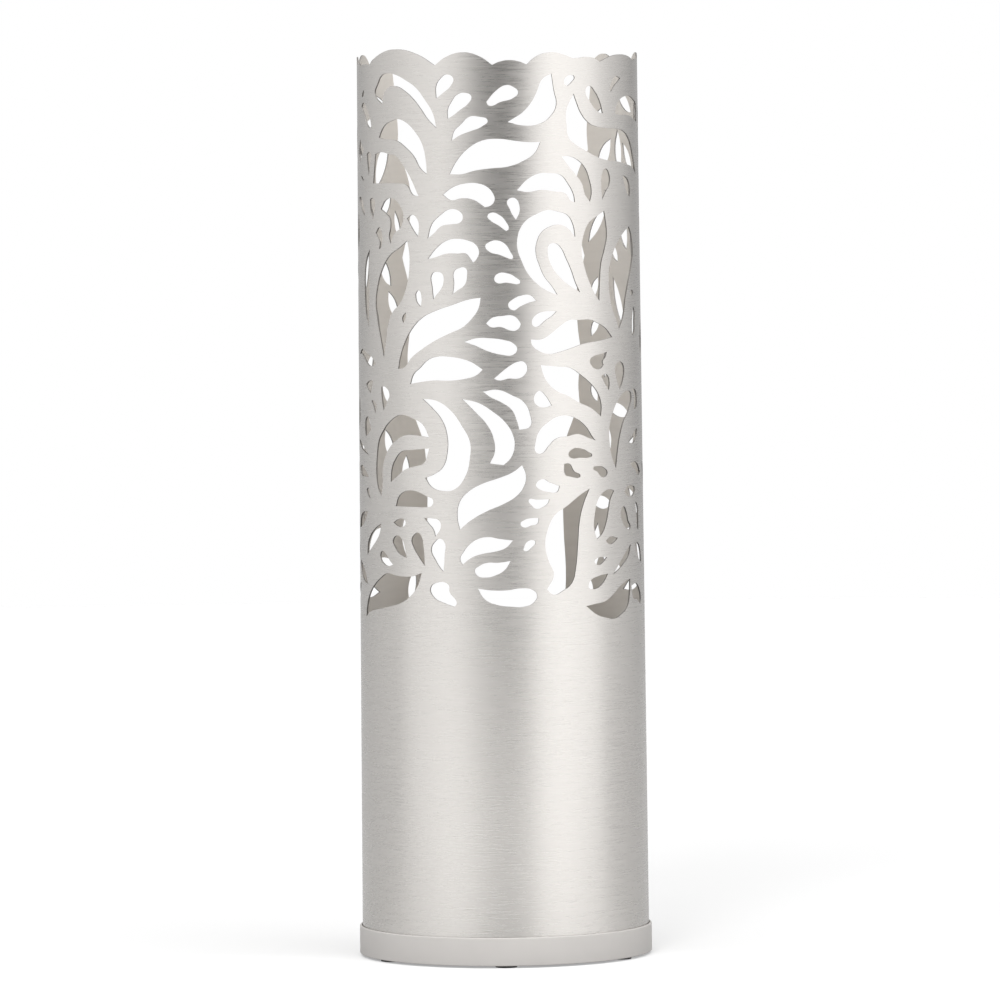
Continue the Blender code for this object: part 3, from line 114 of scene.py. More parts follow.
# The holes that are cut through the front and the sides: a closed outline each.
CUT_OUTS = {
    "crest_left": [(-25.5, 457, T), (-27, 465), (-31, 473), (-35, 479), (-40, 483), (-45.5, 486),
        (-50, 487), (-54.5, 486), (-58, 481), (-60, 476), (-54.5, 470, T), (-53.5, 475),
        (-50.5, 479), (-46, 480), (-40.5, 477), (-36.5, 473), (-33, 468), (-29.5, 462)],
    "crescent_left": [(-57, 452, T), (-55, 456), (-52.5, 459), (-48.5, 461), (-44.5, 462),
        (-40, 460), (-35.5, 455), (-32, 448), (-30.5, 440), (-30, 432, T), (-33, 435), (-36.5, 442),
        (-41, 447), (-45, 450), (-49.5, 451), (-53, 451)],
    "veil_left": [(-62, 427, T), (-61, 435), (-60, 443, T), (-55.5, 444), (-50, 443), (-46, 442),
        (-42, 437), (-38.5, 431), (-34, 420, T), (-37, 421), (-40, 426), (-45, 427), (-53, 427)],
    "edge_petal_a": [(-74.5, 469, T), (-72, 471), (-67.5, 468), (-65, 464), (-63, 457, T),
        (-66.5, 458), (-70, 463)],
    "slot_a": [(-74, 474, T), (-72.5, 477), (-71, 478, T), (-71.5, 475)],
    "edge_petal_b": [(-77.5, 451, T), (-74.5, 448), (-71.5, 445, T), (-74.5, 442), (-77.5, 438, T),
        (-79.5, 445)],
    "edge_petal_c": [(-68, 443, T), (-66, 444), (-63.5, 443), (-64.5, 438), (-66, 431, T),
        (-67, 435)],
    "slot_b": [(-76, 431, T), (-73, 430), (-71, 428, T), (-74, 429)],
    "edge_petal_d": [(-80, 419, T), (-76, 419), (-73, 416), (-70.5, 409, T), (-74, 411),
        (-77.5, 415)],
    "edge_petal_e": [(-65, 418, T), (-62.5, 419), (-60.5, 417), (-61, 412), (-62.5, 407, T),
        (-64.5, 412)],
    "hook_left": [(-56, 413, T), (-52.5, 418), (-48.5, 419), (-44.5, 416), (-42, 410), (-43.5, 403),
        (-47, 400), (-49.5, 394, T), (-50.5, 398), (-49.5, 404), (-50, 408), (-53, 411)],
    "hook_small": [(-60, 400, T), (-57, 403), (-55.5, 401), (-55, 396), (-56, 392), (-57.5, 391, T),
        (-57, 395), (-59, 398)],
    "tall_leaf_left": [(-40, 396, T), (-39, 389), (-39, 381), (-40.5, 371), (-44, 362),
        (-48.5, 357), (-51.5, 350), (-53, 340), (-54.5, 332, T), (-56.5, 341), (-59.5, 354),
        (-60.5, 362), (-59, 371), (-55.5, 380), (-50, 388), (-44.5, 392)],
    "edge_leaf_a": [(-65.5, 391, T), (-66.5, 383), (-66, 371), (-66.5, 360), (-67, 348, T),
        (-70, 355), (-71.5, 367), (-71.5, 378), (-69, 386)],
    "bud_a": [(-40, 408, T), (-37, 410), (-34.5, 407), (-34, 403), (-34.5, 398, T), (-37, 402)],
    "bud_b": [(-36, 367, T), (-34.5, 369), (-33, 365), (-33.5, 360, T), (-35.5, 363)],
    "slot_c": [(-41, 357, T), (-41, 354), (-42.5, 351, T), (-43, 354)],
    "edge_crescent_a": [(-60.5, 328, T), (-64.5, 332), (-69.5, 334), (-75.5, 336), (-81, 333, T),
        (-75.5, 333), (-71.5, 330), (-66.5, 327)],
    "bud_c": [(-70.5, 317, T), (-66.5, 319), (-63, 319, T), (-64.5, 315), (-65.5, 312, T),
        (-68.5, 314)],
    "bud_d": [(-65, 308, T), (-62.5, 308), (-60.5, 306), (-61.5, 301, T), (-63, 305)],
    "bud_e": [(-56.5, 316, T), (-54, 316), (-51, 312), (-52.5, 308), (-55, 303, T), (-56, 308),
        (-56.5, 312)],
    "bud_f": [(-72, 297), (-68.5, 299), (-66.5, 296), (-65.5, 292, T), (-68, 290), (-71.5, 288, T),
        (-72.5, 293)],
    "swirl_left": [(-30, 289, T), (-33, 296), (-37.5, 299), (-44, 301), (-50, 298), (-55.5, 292),
        (-59, 286), (-60.5, 278), (-61, 268), (-59.5, 260), (-57, 256, T), (-56, 263), (-56, 271),
        (-54, 278), (-51, 283), (-47, 287), (-41.5, 290), (-36, 290)],
    "swirl_left_leaf": [(-50.5, 264, T), (-50, 271), (-47.5, 277), (-44, 281), (-39, 282),
        (-30, 283, T), (-31, 279), (-32.5, 275), (-37.5, 273), (-42.5, 271), (-47, 267)],
    "edge_slot_a": [(-81.5, 271, T), (-78, 272), (-73, 270), (-68, 266, T), (-74, 266),
        (-79.5, 267)],
    "edge_slot_b": [(-85.5, 286, T), (-80, 285), (-74, 282), (-68, 278, T), (-75, 280),
        (-81.5, 283)],
    "slot_d": [(-71, 259, T), (-69, 260), (-67.5, 257), (-66.5, 254, T), (-69.5, 256)],
    "fan_left": [(-47.5, 251, T), (-46, 256), (-43, 259), (-39, 260), (-35, 259), (-31.5, 257),
        (-28.5, 255), (-29, 252), (-32, 251), (-37, 251), (-42, 251)],
    "seed_a": [(-49, 242, T), (-46, 244), (-43, 244), (-42, 242), (-43.5, 240), (-46, 240)],
    "seed_b": [(-49.5, 232), (-47, 235), (-44, 233), (-42.5, 228), (-41.5, 223, T), (-45.5, 225),
        (-48.5, 229)],
    "seed_c": [(-39, 233), (-37.5, 236), (-35.5, 237), (-34, 235), (-33, 229), (-32.5, 219, T),
        (-35.5, 224), (-38, 229)],
    "seed_d": [(-32.5, 245, T), (-29, 245), (-26, 244), (-25, 241), (-27.5, 235, T), (-28.5, 239),
        (-30.5, 242)],
    "seed_e": [(-29.5, 228), (-28, 232), (-25.5, 234), (-23.5, 232), (-23.5, 225), (-24, 216, T),
        (-25.5, 218), (-27.5, 222)],
    "seed_f": [(-30, 207), (-27, 210), (-22, 209), (-21.5, 205), (-18.5, 199), (-19.5, 197, T),
        (-24, 199), (-28.5, 202)],
    "seed_g": [(-58, 225), (-56, 226), (-53.5, 224), (-51.5, 221), (-49.5, 219, T), (-52.5, 218),
        (-55.5, 219), (-58, 222)],
    "edge_leaf_b": [(-57.5, 241, T), (-58.5, 236), (-61, 232), (-65, 228), (-70.5, 223, T),
        (-70, 229), (-67, 234), (-62.5, 238)],
    "edge_leaf_c": [(-69.5, 247, T), (-72, 243), (-77, 239), (-85, 237, T), (-81.5, 243),
        (-77, 246)],
    "ground_leaf_left": [(-34, 215, T), (-36, 208), (-40, 202), (-45.5, 198), (-51.5, 196),
        (-59.5, 194), (-67.5, 192), (-72.5, 189, T), (-71.5, 195), (-68, 202), (-63.5, 207),
        (-58.5, 211), (-53.5, 214), (-47, 213), (-39.5, 213)],
    "edge_leaf_d": [(-82.5, 220, T), (-77, 217), (-73, 213), (-70, 207, T), (-76, 209), (-81, 214)],
    "petal_a": [(-25.5, 473, T), (-25.5, 480), (-23.5, 484), (-21, 486), (-18, 484), (-19, 480),
        (-22.5, 476)],
    "petal_b": [(-20.5, 462, T), (-20.5, 467), (-19, 471), (-16.5, 475), (-13, 476), (-10.5, 474),
        (-12, 470), (-15, 467), (-18, 464)],
    "petal_c": [(-19, 450, T), (-18, 455), (-15, 459), (-11.5, 463), (-7.5, 463), (-4, 461),
        (-6, 458), (-11.5, 455), (-15.5, 453)],
    "petal_d": [(-4.5, 471, T), (-0.5, 477), (3.5, 480), (6.5, 479), (8.5, 476), (6.5, 473),
        (1.5, 471), (-3.5, 469)],
    "leaf_upper": [(-20, 432, T), (-17, 439), (-12, 446), (-6.5, 450), (0, 451), (6, 450),
        (12, 449), (17.5, 449, T), (15, 443), (10.5, 439), (4.5, 436), (-3, 435), (-9, 434),
        (-15, 432)],
    "petal_big": [(4, 460, T), (10.5, 458), (17.5, 459), (22, 463), (24.5, 469), (23.5, 477),
        (22.5, 486, T), (18.5, 483), (16, 476), (14, 471), (10, 465), (6.5, 462)],
    "bud_g": [(28, 481), (29, 484), (31.5, 485), (33, 484), (31.5, 481), (29.5, 479, T)],
    "swirl_right_cap": [(7.5, 423, T), (12, 429), (17, 432), (21.5, 432), (26, 431), (29.5, 426),
        (32, 420), (32.5, 416, T), (30.5, 417), (28, 421), (23.5, 422), (18, 423), (12, 422)],
    "comma_a": [(-23, 421, T), (-18.5, 425), (-13, 427), (-8.5, 427), (-4.5, 425), (-2, 421),
        (-1.5, 418), (-3, 415), (-5.5, 414, T), (-7.5, 416), (-10, 418), (-15, 419), (-19.5, 418)],
    "seed_h": [(3.5, 417), (5.5, 419), (7.5, 418), (8.5, 415), (8.5, 411), (7, 407, T), (5.5, 410),
        (4.5, 413)],
    "seed_i": [(-4.5, 409), (-3, 411), (0, 410), (3, 406), (4, 402), (3, 401, T), (0, 404),
        (-3.5, 407)],
    "petal_e": [(-30, 397, T), (-28, 405), (-24, 410), (-20, 413), (-16, 412), (-14.5, 409),
        (-15.5, 406), (-19, 405), (-23.5, 404), (-27, 400)],
    "comma_b": [(-30, 386, T), (-26, 392), (-21.5, 396), (-17, 397), (-12.5, 396), (-9.5, 394),
        (-8, 390), (-9, 386), (-10.5, 384, T), (-11.5, 386), (-13.5, 389), (-17, 389), (-21.5, 389),
        (-26.5, 387)],
    "seed_j": [(-5.5, 393), (-4, 395), (-1, 396), (2.5, 394), (4.5, 390), (5.5, 386), (4, 386, T),
        (0.5, 388), (-4, 390)],
    "seed_k": [(-2, 375), (-0.5, 378), (3.5, 378), (6.5, 376), (8.5, 373), (7, 372, T), (3, 373),
        (-1, 373)],
    "seed_l": [(3.5, 361), (5.5, 364), (9, 366), (12.5, 366), (15, 363, T), (12, 362), (8.5, 360),
        (5.5, 358)],
    "seed_m": [(-28, 378), (-25.5, 379), (-23.5, 378), (-23, 373), (-24.5, 369), (-26.5, 366),
        (-27.5, 364, T), (-28, 370)],
    "seed_n": [(-18.5, 379), (-16.5, 381), (-13.5, 381), (-13, 377), (-14, 372), (-17, 369),
        (-19, 367, T), (-18.5, 373)],
    "seed_o": [(-5.5, 351, T), (-3, 354), (1, 355), (5.5, 355), (8, 352), (8.5, 350), (6.5, 347),
        (4.5, 347), (0.5, 349), (-3.5, 349)],
    "seed_p": [(13, 351), (14.5, 355), (18, 357), (23.5, 357, T), (22, 355), (18.5, 352),
        (15.5, 349), (14, 349)],
    "ring_swirl": [(32.5, 397, T), (31.5, 404), (29, 409), (25, 411), (20, 412), (15.5, 410),
        (11.5, 407), (9, 403), (7.5, 397), (7.5, 391), (9, 385), (11.5, 378), (15.5, 372),
        (20, 368), (24, 366, T), (21.5, 371), (18.5, 376), (16.5, 382), (15, 389), (15.5, 395),
        (17.5, 400), (21, 403), (25.5, 404), (29, 402)],
    "tongue_leaf": [(20.5, 393), (23, 394), (25.5, 392), (28, 386), (30.5, 379), (32.5, 372),
        (34.5, 367, T), (30.5, 370), (25.5, 375), (21.5, 382), (20, 389)],
    "veil_right": [(12.5, 342, T), (17, 342), (21, 345), (25, 349), (29, 352), (33.5, 352),
        (39, 352), (43.5, 350), (48, 347), (52, 342, T), (48, 341), (42, 340), (36, 339),
        (30.5, 337), (25, 335), (20, 334), (15.5, 336), (13, 339)],
    "leaf_mid": [(-14.5, 341, T), (-9.5, 343), (-4, 343), (1.5, 342), (5.5, 340), (7, 337),
        (5.5, 334), (0.5, 334), (-5, 336), (-10, 339)],
    "leaf_main_left": [(-45.5, 326, T), (-44.5, 332), (-42, 340), (-38, 348), (-33, 354),
        (-26.5, 358), (-19.5, 361), (-12.5, 364), (-7.5, 365, T), (-8.5, 359), (-11, 354),
        (-15, 349), (-20, 346), (-26.5, 342), (-33, 337), (-38.5, 332), (-42, 327)],
    "leaf_main_low": [(-39, 318, T), (-37.5, 323), (-34, 327), (-30.5, 331), (-26, 333), (-21, 333),
        (-16, 332), (-11.5, 330), (-7, 326, T), (-9.5, 323), (-14.5, 321), (-21, 320), (-28.5, 320),
        (-34.5, 319)],
    "petal_f": [(-2.5, 321, T), (1, 325), (4, 328), (7, 330), (9.5, 330), (11, 327), (10, 323),
        (7.5, 321), (3.5, 321), (-0.5, 320)],
    "comma_c": [(-7, 314, T), (-1, 315), (4.5, 312), (9.5, 308), (12, 301), (12, 295),
        (7.5, 293, T), (6.5, 298), (4.5, 304), (0.5, 308), (-4, 311)],
    "comma_d": [(-15.5, 310, T), (-9, 308), (-3, 303), (2, 297), (5, 290), (5.5, 284), (4, 278),
        (1, 274, T), (-4.5, 275, T), (-2.5, 281), (-3, 289), (-5.5, 296), (-9.5, 302)],
    "crescent_big": [(-33, 310, T), (-26.5, 309), (-20.5, 304), (-15.5, 295), (-12.5, 287),
        (-12.5, 278), (-14.5, 268), (-19, 261), (-24, 260), (-29, 262), (-32, 267, T), (-28, 269),
        (-24, 273), (-22, 281), (-22, 290), (-24, 298), (-28.5, 305)],
    "leaf_low": [(8.5, 274, T), (10, 268), (9, 262), (6, 257), (1, 253), (-6, 249), (-12.5, 244),
        (-17, 239, T), (-18, 246), (-17, 254), (-13, 260), (-7.5, 264), (-1, 267), (4.5, 270)],
    "seed_q": [(14, 263), (16.5, 266), (20, 264), (24, 262, T), (23, 259), (19.5, 259), (15, 261)],
    "seed_r": [(13.5, 309), (14.5, 313), (16, 314), (18, 312), (21, 306, T), (18, 305), (15, 306)],
    "wing_right": [(16.5, 328, T), (23.5, 327), (29.5, 326), (34.5, 322), (39.5, 317), (43, 312),
        (45, 305), (44.5, 299, T), (39, 304), (33.5, 307), (28, 311), (23, 314), (19, 319),
        (17.5, 323)],
    "crescent_right": [(14, 281), (14, 286), (15.5, 292), (19.5, 297), (24, 300), (28.5, 300),
        (32.5, 298), (36.5, 294), (40, 288), (41.5, 286, T), (37, 288), (32.5, 290), (28, 289),
        (23, 288), (19.5, 284), (16.5, 280)],
    "leaf_low_b": [(-16, 220, T), (-17, 223), (-15.5, 227), (-13, 231), (-9.5, 234), (-5.5, 235),
        (-1, 234), (4.5, 233, T), (1.5, 229), (-3, 227), (-7.5, 226), (-12, 224)],
    "petal_g": [(-11, 217), (-9.5, 219), (-6, 221), (-1.5, 221), (3.5, 222, T), (1, 217), (-3, 214),
        (-6.5, 213), (-10, 214)],
    "ground_bean": [(-10, 207, T), (-4, 206), (2, 206), (8, 207), (12, 206), (14, 203), (12.5, 199),
        (9, 197), (3.5, 197), (-2, 198), (-7, 201)],
    "seed_s": [(7.5, 242), (9, 244), (12, 245), (15, 245, T), (14.5, 242), (12, 241), (9, 240)],
    "seed_t": [(8.5, 228, T), (10, 232), (12.5, 233), (13.5, 232), (12, 229), (9.5, 227)],
    "seed_u": [(11, 255), (14, 255), (19.5, 255, T), (19, 253), (17, 251), (14, 250), (12, 252)],
    "bud_h": [(38.5, 477), (40.5, 479), (43.5, 476), (46.5, 470), (48, 464, T), (45, 465),
        (41, 470)],
    "crescent_rim": [(52.5, 476, T), (53.5, 480), (56.5, 484), (60.5, 483, T), (58.5, 481),
        (56, 479), (53.5, 476)],
    "veil_edge_right": [(56, 464, T), (58.5, 470), (64, 473), (70, 473), (75.5, 471), (80, 468),
        (79.5, 459, T), (75.5, 460), (70.5, 462), (64.5, 463), (59.5, 463)],
    "bud_i": [(49, 434), (51.5, 431), (51.5, 425), (49, 421), (47, 417, T), (46.5, 425), (47, 431)],
    "hook_right": [(26.5, 441, T), (30, 441), (34, 439), (37.5, 435), (40, 428), (41, 421),
        (40, 416, T), (37.5, 420), (36, 426), (33, 431), (29.5, 436)],
    "bud_j": [(61.5, 430, T), (64.5, 429), (67.5, 426), (68.5, 421), (68, 418, T), (65.5, 420),
        (63, 425)],
    "tall_leaf_right": [(48, 411, T), (49, 405), (49.5, 397), (48, 390), (46, 383), (45, 373),
        (44.5, 362, T), (42, 366), (39, 373), (36.5, 382), (35.5, 390), (36.5, 398), (39.5, 405),
        (43.5, 408)],
    "tall_leaf_edge": [(67, 402, T), (70, 396), (71, 388), (69, 380), (65, 370), (62.5, 362),
        (60.5, 353), (57, 346, T), (55, 351), (52, 359), (50.5, 368), (50.5, 378), (53, 387),
        (57, 394), (62, 399)],
    "bud_k": [(67, 365, T), (68.5, 367), (70.5, 366), (69.5, 364)],
    "slot_e": [(70.5, 358, T), (72, 356), (72, 350), (71, 343), (69, 342, T), (69, 350)],
    "heart_cut": [(39, 330), (41, 332), (44.5, 333), (48.5, 334, T), (47.5, 331), (46, 329),
        (46.5, 327, T), (44.5, 325), (40.5, 326)],
    "bud_l": [(45, 321, T), (47, 322), (49, 321), (50, 317), (49.5, 313, T), (47.5, 316),
        (46, 319)],
    "bud_m": [(54, 326), (56, 328), (58.5, 328), (60.5, 325), (59.5, 318), (57, 313, T), (55, 318)],
    "wing_edge": [(51, 299, T), (54.5, 306), (59.5, 311), (64.5, 312), (67, 310), (64.5, 302),
        (59.5, 295), (56.5, 287), (55, 280), (53.5, 270, T), (51, 276), (49.5, 285), (49.5, 293)],
    "bud_n": [(68, 313, T), (72, 312), (74, 307), (73.5, 303, T), (70, 302), (70.5, 308)],
    "seed_v": [(28, 279), (30, 282), (34, 282), (37.5, 280), (39.5, 278), (38, 277), (33, 277),
        (29.5, 277)],
    "seed_w": [(26, 274, T), (28.5, 274), (30.5, 270), (33.5, 267), (32, 266, T), (28.5, 267),
        (26.5, 268)],
    "seed_x": [(40, 271), (42.5, 272), (46, 271), (48, 268), (46.5, 266), (44.5, 266), (42, 269)],
    "bud_o": [(59.5, 257, T), (62.5, 260), (66, 260), (69.5, 258), (68, 255), (64.5, 254),
        (61, 255)],
    "edge_slot_c": [(65, 272, T), (69, 273), (74, 271), (77.5, 267, T), (75, 265), (70.5, 268)],
    "edge_slot_d": [(63.5, 284, T), (67, 287), (70.5, 290), (73.5, 291, T), (72, 286), (68, 283)],
    "shield_right": [(38, 260, T), (33.5, 257), (27, 251), (21.5, 246), (18.5, 238), (17.5, 230),
        (19, 221), (21, 214), (18, 206, T), (21, 203), (25, 205), (29, 209), (31, 218), (32, 230),
        (33, 243), (35, 252)],
    "almond_right": [(52, 258, T), (49.5, 253), (48.5, 248), (47, 241), (44.5, 235), (41.5, 232, T),
        (40, 239), (40.5, 246), (42.5, 254), (46, 258), (49, 259)],
    "bud_p": [(56.5, 246), (58.5, 249), (61, 246), (62.5, 241), (64.5, 237), (63.5, 236, T),
        (60.5, 237), (57.5, 241)],
    "edge_slot_e": [(70, 251, T), (72.5, 249), (73.5, 243), (73.5, 235, T), (72, 236), (71, 243)],
    "seed_y": [(46.5, 231, T), (49, 233), (54, 232, T), (52, 230), (48.5, 229)],
    "seed_z": [(40, 220), (42, 222), (47, 222, T), (45.5, 220), (42.5, 218), (40.5, 219)],
    "edge_leaf_e": [(50.5, 212, T), (55, 218), (61, 225), (64.5, 228, T), (62.5, 222), (57.5, 217)],
    "seed_za": [(37, 208), (38, 210), (42, 212), (47.5, 213, T), (46, 210), (42.5, 206), (39, 205),
        (37, 206)],
    "edge_leaf_f": [(69, 228, T), (72.5, 228), (76, 224), (77.5, 217, T), (73.5, 219), (70, 223)],
    "ground_leaf_right": [(35.5, 196, T), (40.5, 197), (45.5, 198), (50, 201), (54.5, 205),
        (59.5, 208), (63.5, 209, T), (63, 201), (61, 194), (56, 190), (51, 188), (46, 189),
        (41, 191)],
    "edge_crescent_b": [(64.5, 205, T), (69.5, 206), (73.5, 203), (76, 197), (74.5, 194, T),
        (70.5, 197), (66.5, 198)],
    "leaf_big_right": [(32.5, 475, T), (34, 470), (36, 464.5), (40, 459), (44, 457), (50, 456),
        (57, 455.5), (63, 454), (68, 450), (72, 443), (77, 430, T), (72, 434), (65, 436),
        (58, 437.5), (50, 438.5), (44, 440.5), (38, 444), (33, 447.5), (30, 451), (29, 458),
        (29, 466)],}

# The leaves of the back flanks: (bearing, height, length, width, lean from upright in degrees).
FLANK_LEAVES = [
    (-123, 436, 30, 12, -25), (-110, 456, 26, 8, -60), (-96, 468, 24, 9, -35), (-118, 472, 22, 7, 80),
    (-88, 446, 26, 10, 20), (-102, 436, 30, 12, 35), (-126, 413, 16, 8, -30), (-113, 408, 30, 10, 30),
    (-95, 410, 34, 13, -25), (-133, 402, 18, 5, 15), (-83, 400, 22, 8, 5), (-125, 377, 20, 9, 30),
    (-130, 358, 18, 8, 30), (-107, 375, 34, 13, -20), (-90, 372, 28, 10, 30), (-117, 350, 34, 10, 15),
    (-98, 345, 24, 9, 40), (-132, 334, 16, 7, 0), (-88, 342, 22, 8, -10), (-110, 322, 26, 10, -35),
    (-95, 315, 30, 11, 20), (-126, 310, 24, 9, 30), (-115, 293, 22, 9, 60), (-84, 300, 20, 8, 10),
    (-127, 280, 20, 9, 25), (-103, 285, 28, 10, -15), (-90, 276, 22, 9, -40), (-137, 265, 18, 7, 0),
    (-113, 256, 26, 10, 30), (-100, 250, 20, 9, 10), (-128, 248, 24, 9, -30), (-90, 246, 20, 8, 20),
    (-137, 228, 26, 8, 5), (-115, 228, 22, 9, -55), (-99, 222, 26, 9, 45), (-127, 213, 26, 9, 70),
    (-87, 225, 14, 7, -30), (-108, 201, 30, 9, 80), (-88, 202, 20, 8, 60), (-140, 200, 20, 7, -10),
    (129, 440, 22, 10, -30), (119, 442, 26, 9, 5), (110, 438, 24, 9, 40), (128, 464, 24, 8, -70),
    (113, 470, 24, 9, 60), (97, 468, 22, 9, -30), (86, 462, 20, 8, 30), (99, 441, 22, 9, 20),
    (88, 436, 24, 9, -15), (134, 402, 26, 7, -35), (115, 398, 22, 11, 15), (123, 386, 12, 6, 30),
    (124, 418, 16, 7, 70), (101, 412, 28, 10, -30), (88, 408, 24, 9, 25), (104, 385, 26, 10, 30),
    (92, 378, 26, 9, -20), (129, 370, 18, 6, 0), (120, 357, 34, 8, 22), (136, 366, 14, 6, -20),
    (136, 345, 14, 6, -30), (106, 350, 26, 10, -25), (92, 345, 24, 9, 30), (110, 325, 28, 10, 40),
    (128, 328, 26, 9, -20), (96, 316, 26, 9, -30), (83, 340, 22, 8, 10), (137, 308, 12, 6, 20),
    (122, 299, 26, 9, 80), (108, 297, 22, 9, 20), (92, 290, 24, 9, 30), (129, 281, 16, 7, 0),
    (114, 275, 26, 9, -40), (99, 268, 24, 9, 15), (86, 264, 20, 8, -30), (134, 247, 18, 9, 85),
    (121, 256, 24, 9, 20), (108, 248, 24, 9, 50), (94, 242, 24, 9, -20), (137, 222, 26, 8, -5),
    (119, 226, 26, 9, -50), (103, 221, 26, 9, 30), (127, 212, 22, 8, 65), (88, 218, 20, 8, 10),
    (111, 202, 26, 8, -75), (94, 201, 16, 7, 60), (141, 198, 16, 7, 10),
]


# ---- sizes and finishes that a user may change --------------------------------------------------


def length_property(name, description, default, largest=1.0):
    return FloatProperty(
        name=name, description=description, default=default, min=0, max=largest,
        precision=5, unit="LENGTH", subtype="DISTANCE",
    )


def colour_property(name, description, default):
    return FloatVectorProperty(
        name=name, description=description, default=default, min=0, max=1, size=3, subtype="COLOR"
    )


class StandSizes(bpy.types.PropertyGroup):
    sleeve_radius: length_property(
        "Sleeve radius", "Outside radius of the sleeve's sheet at the floor", 0.0793
    )
    rim_draw_in: length_property(
        "Rim draw-in", "How much smaller the sleeve's radius is at the full height", 0.0022
    )
    sheet: length_property("Sheet", "Thickness of the sleeve's sheet", 0.0008)
    seam_gap: length_property("Seam gap", "Gap of the butt seam down the back", 0.0004)
    outline_steps: IntProperty(
        name="Outline steps", description="Points between two points of an outline",
        default=6, min=1, max=16,
    )
    strip: FloatProperty(
        name="Strip", description="Width of one flat strip of the rolled sheet",
        default=math.radians(3), min=math.radians(1), max=math.radians(15), unit="ROTATION",
    )
    ring_edge: length_property("Ring edge", "Rounding of the base ring's top outer edge", 0.0009)
    tray_wall: length_property("Tray wall", "Thickness of the drip tray's wall", 0.0016)


class StandFinishes(bpy.types.PropertyGroup):
    steel: colour_property("Sleeve steel", "Colour of the brushed sheet", (0.655, 0.632, 0.606))
    # Lighter and warmer than the steel: painted light for the warm light bounced round inside the sleeve.
    inner_face_and_bounce_light: colour_property("Inner face", "Colour of the unbrushed inner face", (0.69, 0.655, 0.61))
    cut_edge: colour_property("Cut edge", "Colour of the laser-cut edges", (0.30, 0.285, 0.27))
    ring: colour_property("Base ring", "Colour of the ring's moulded plastic", (0.405, 0.389, 0.374))
    plated: colour_property("Plated steel", "Colour of the zinc-plated pieces", (0.52, 0.53, 0.54))
    iron: colour_property("Ballast iron", "Colour of the coated casting", (0.05, 0.05, 0.053))
    tray: colour_property("Tray plastic", "Colour of the moulded drip tray", (0.10, 0.10, 0.105))
    rubber: colour_property("Pad rubber", "Colour of the floor pads", (0.022, 0.022, 0.022))


class StandStage(bpy.types.PropertyGroup):
    floor_radius: length_property("Floor radius", "Radius of the pale floor", 3.0, 50)
    key_strength: FloatProperty(
        name="Key strength", description="Strength of the soft light over the left shoulder",
        default=1.3, min=0,
    )
    fill_power: FloatProperty(
        name="Fill power", description="Power of the light over the floor in front",
        default=2.5, min=0, unit="POWER",
    )
    eye_height: length_property("Eye height", "Height of the camera over the floor", 0.495, 10)
    eye_distance: length_property("Eye distance", "Camera's distance from the stand", 4.6, 50)
    lens: FloatProperty(name="Lens", description="Focal length", default=300.4, min=10, unit="CAMERA")
    aim_side: FloatProperty(
        name="Aim side", description="Sideways place of the aim point", default=-0.0008,
        unit="LENGTH", precision=5,
    )
    aim_height: length_property("Aim height", "Height of the aim point over the floor", 0.251)
    roll: FloatProperty(
        name="Roll", description="Roll of the camera", default=math.radians(-0.6), unit="ROTATION"
    )


# ---- shader nodes --------------------------------------------------------------------------------


class Wire:
    """A node's output that takes part in arithmetic: each operator adds one Math node."""

    def __init__(self, nodes, socket):
        self.nodes = nodes
        self.socket = socket

    def maths(self, operation, *values):
        return self.nodes.add("ShaderNodeMath", {"operation": operation}, dict(enumerate(values)))

    def __add__(self, other):
        return self.maths("ADD", self, other)

    def __radd__(self, other):
        return self.maths("ADD", other, self)

    def __sub__(self, other):
        return self.maths("SUBTRACT", self, other)

    def __rsub__(self, other):
        return self.maths("SUBTRACT", other, self)

    def __mul__(self, other):
        return self.maths("MULTIPLY", self, other)

    def __rmul__(self, other):
        return self.maths("MULTIPLY", other, self)

    def __truediv__(self, other):
        return self.maths("DIVIDE", self, other)

    def __pow__(self, other):
        return self.maths("POWER", self, other)

    def above(self, limit):
        return self.maths("GREATER_THAN", self, limit)


class Nodes:
    """Adds nodes to one node tree."""

    def __init__(self, tree):
        self.tree = tree
        self.tree.nodes.clear()

    def add(self, kind, settings=None, inputs=None, output=0):
        """One node: its settings first, then the values or links of its sockets."""
        node = self.tree.nodes.new(kind)
        for name, value in (settings or {}).items():
            if name == "stops":
                self.set_stops(node.color_ramp, value)
            else:
                setattr(node, name, value)
        for name, value in (inputs or {}).items():
            self.feed(node.inputs[name], value)
        return Wire(self, node.outputs[output]) if node.outputs else None

    def set_stops(self, ramp, stops):
        while len(ramp.elements) < len(stops):
            ramp.elements.new(1.0)
        for element, (place, grey) in zip(ramp.elements, stops):
            element.position = place
            element.color = (grey, grey, grey, 1)

    def feed(self, socket, value):
        if isinstance(value, Wire):
            self.tree.links.new(value.socket, socket)
        elif isinstance(value, (tuple, list, bpy.types.bpy_prop_array)) or hasattr(value, "hsv"):
            socket.default_value = (*value, 1) if socket.type == "RGBA" else tuple(value)
        else:
            socket.default_value = value


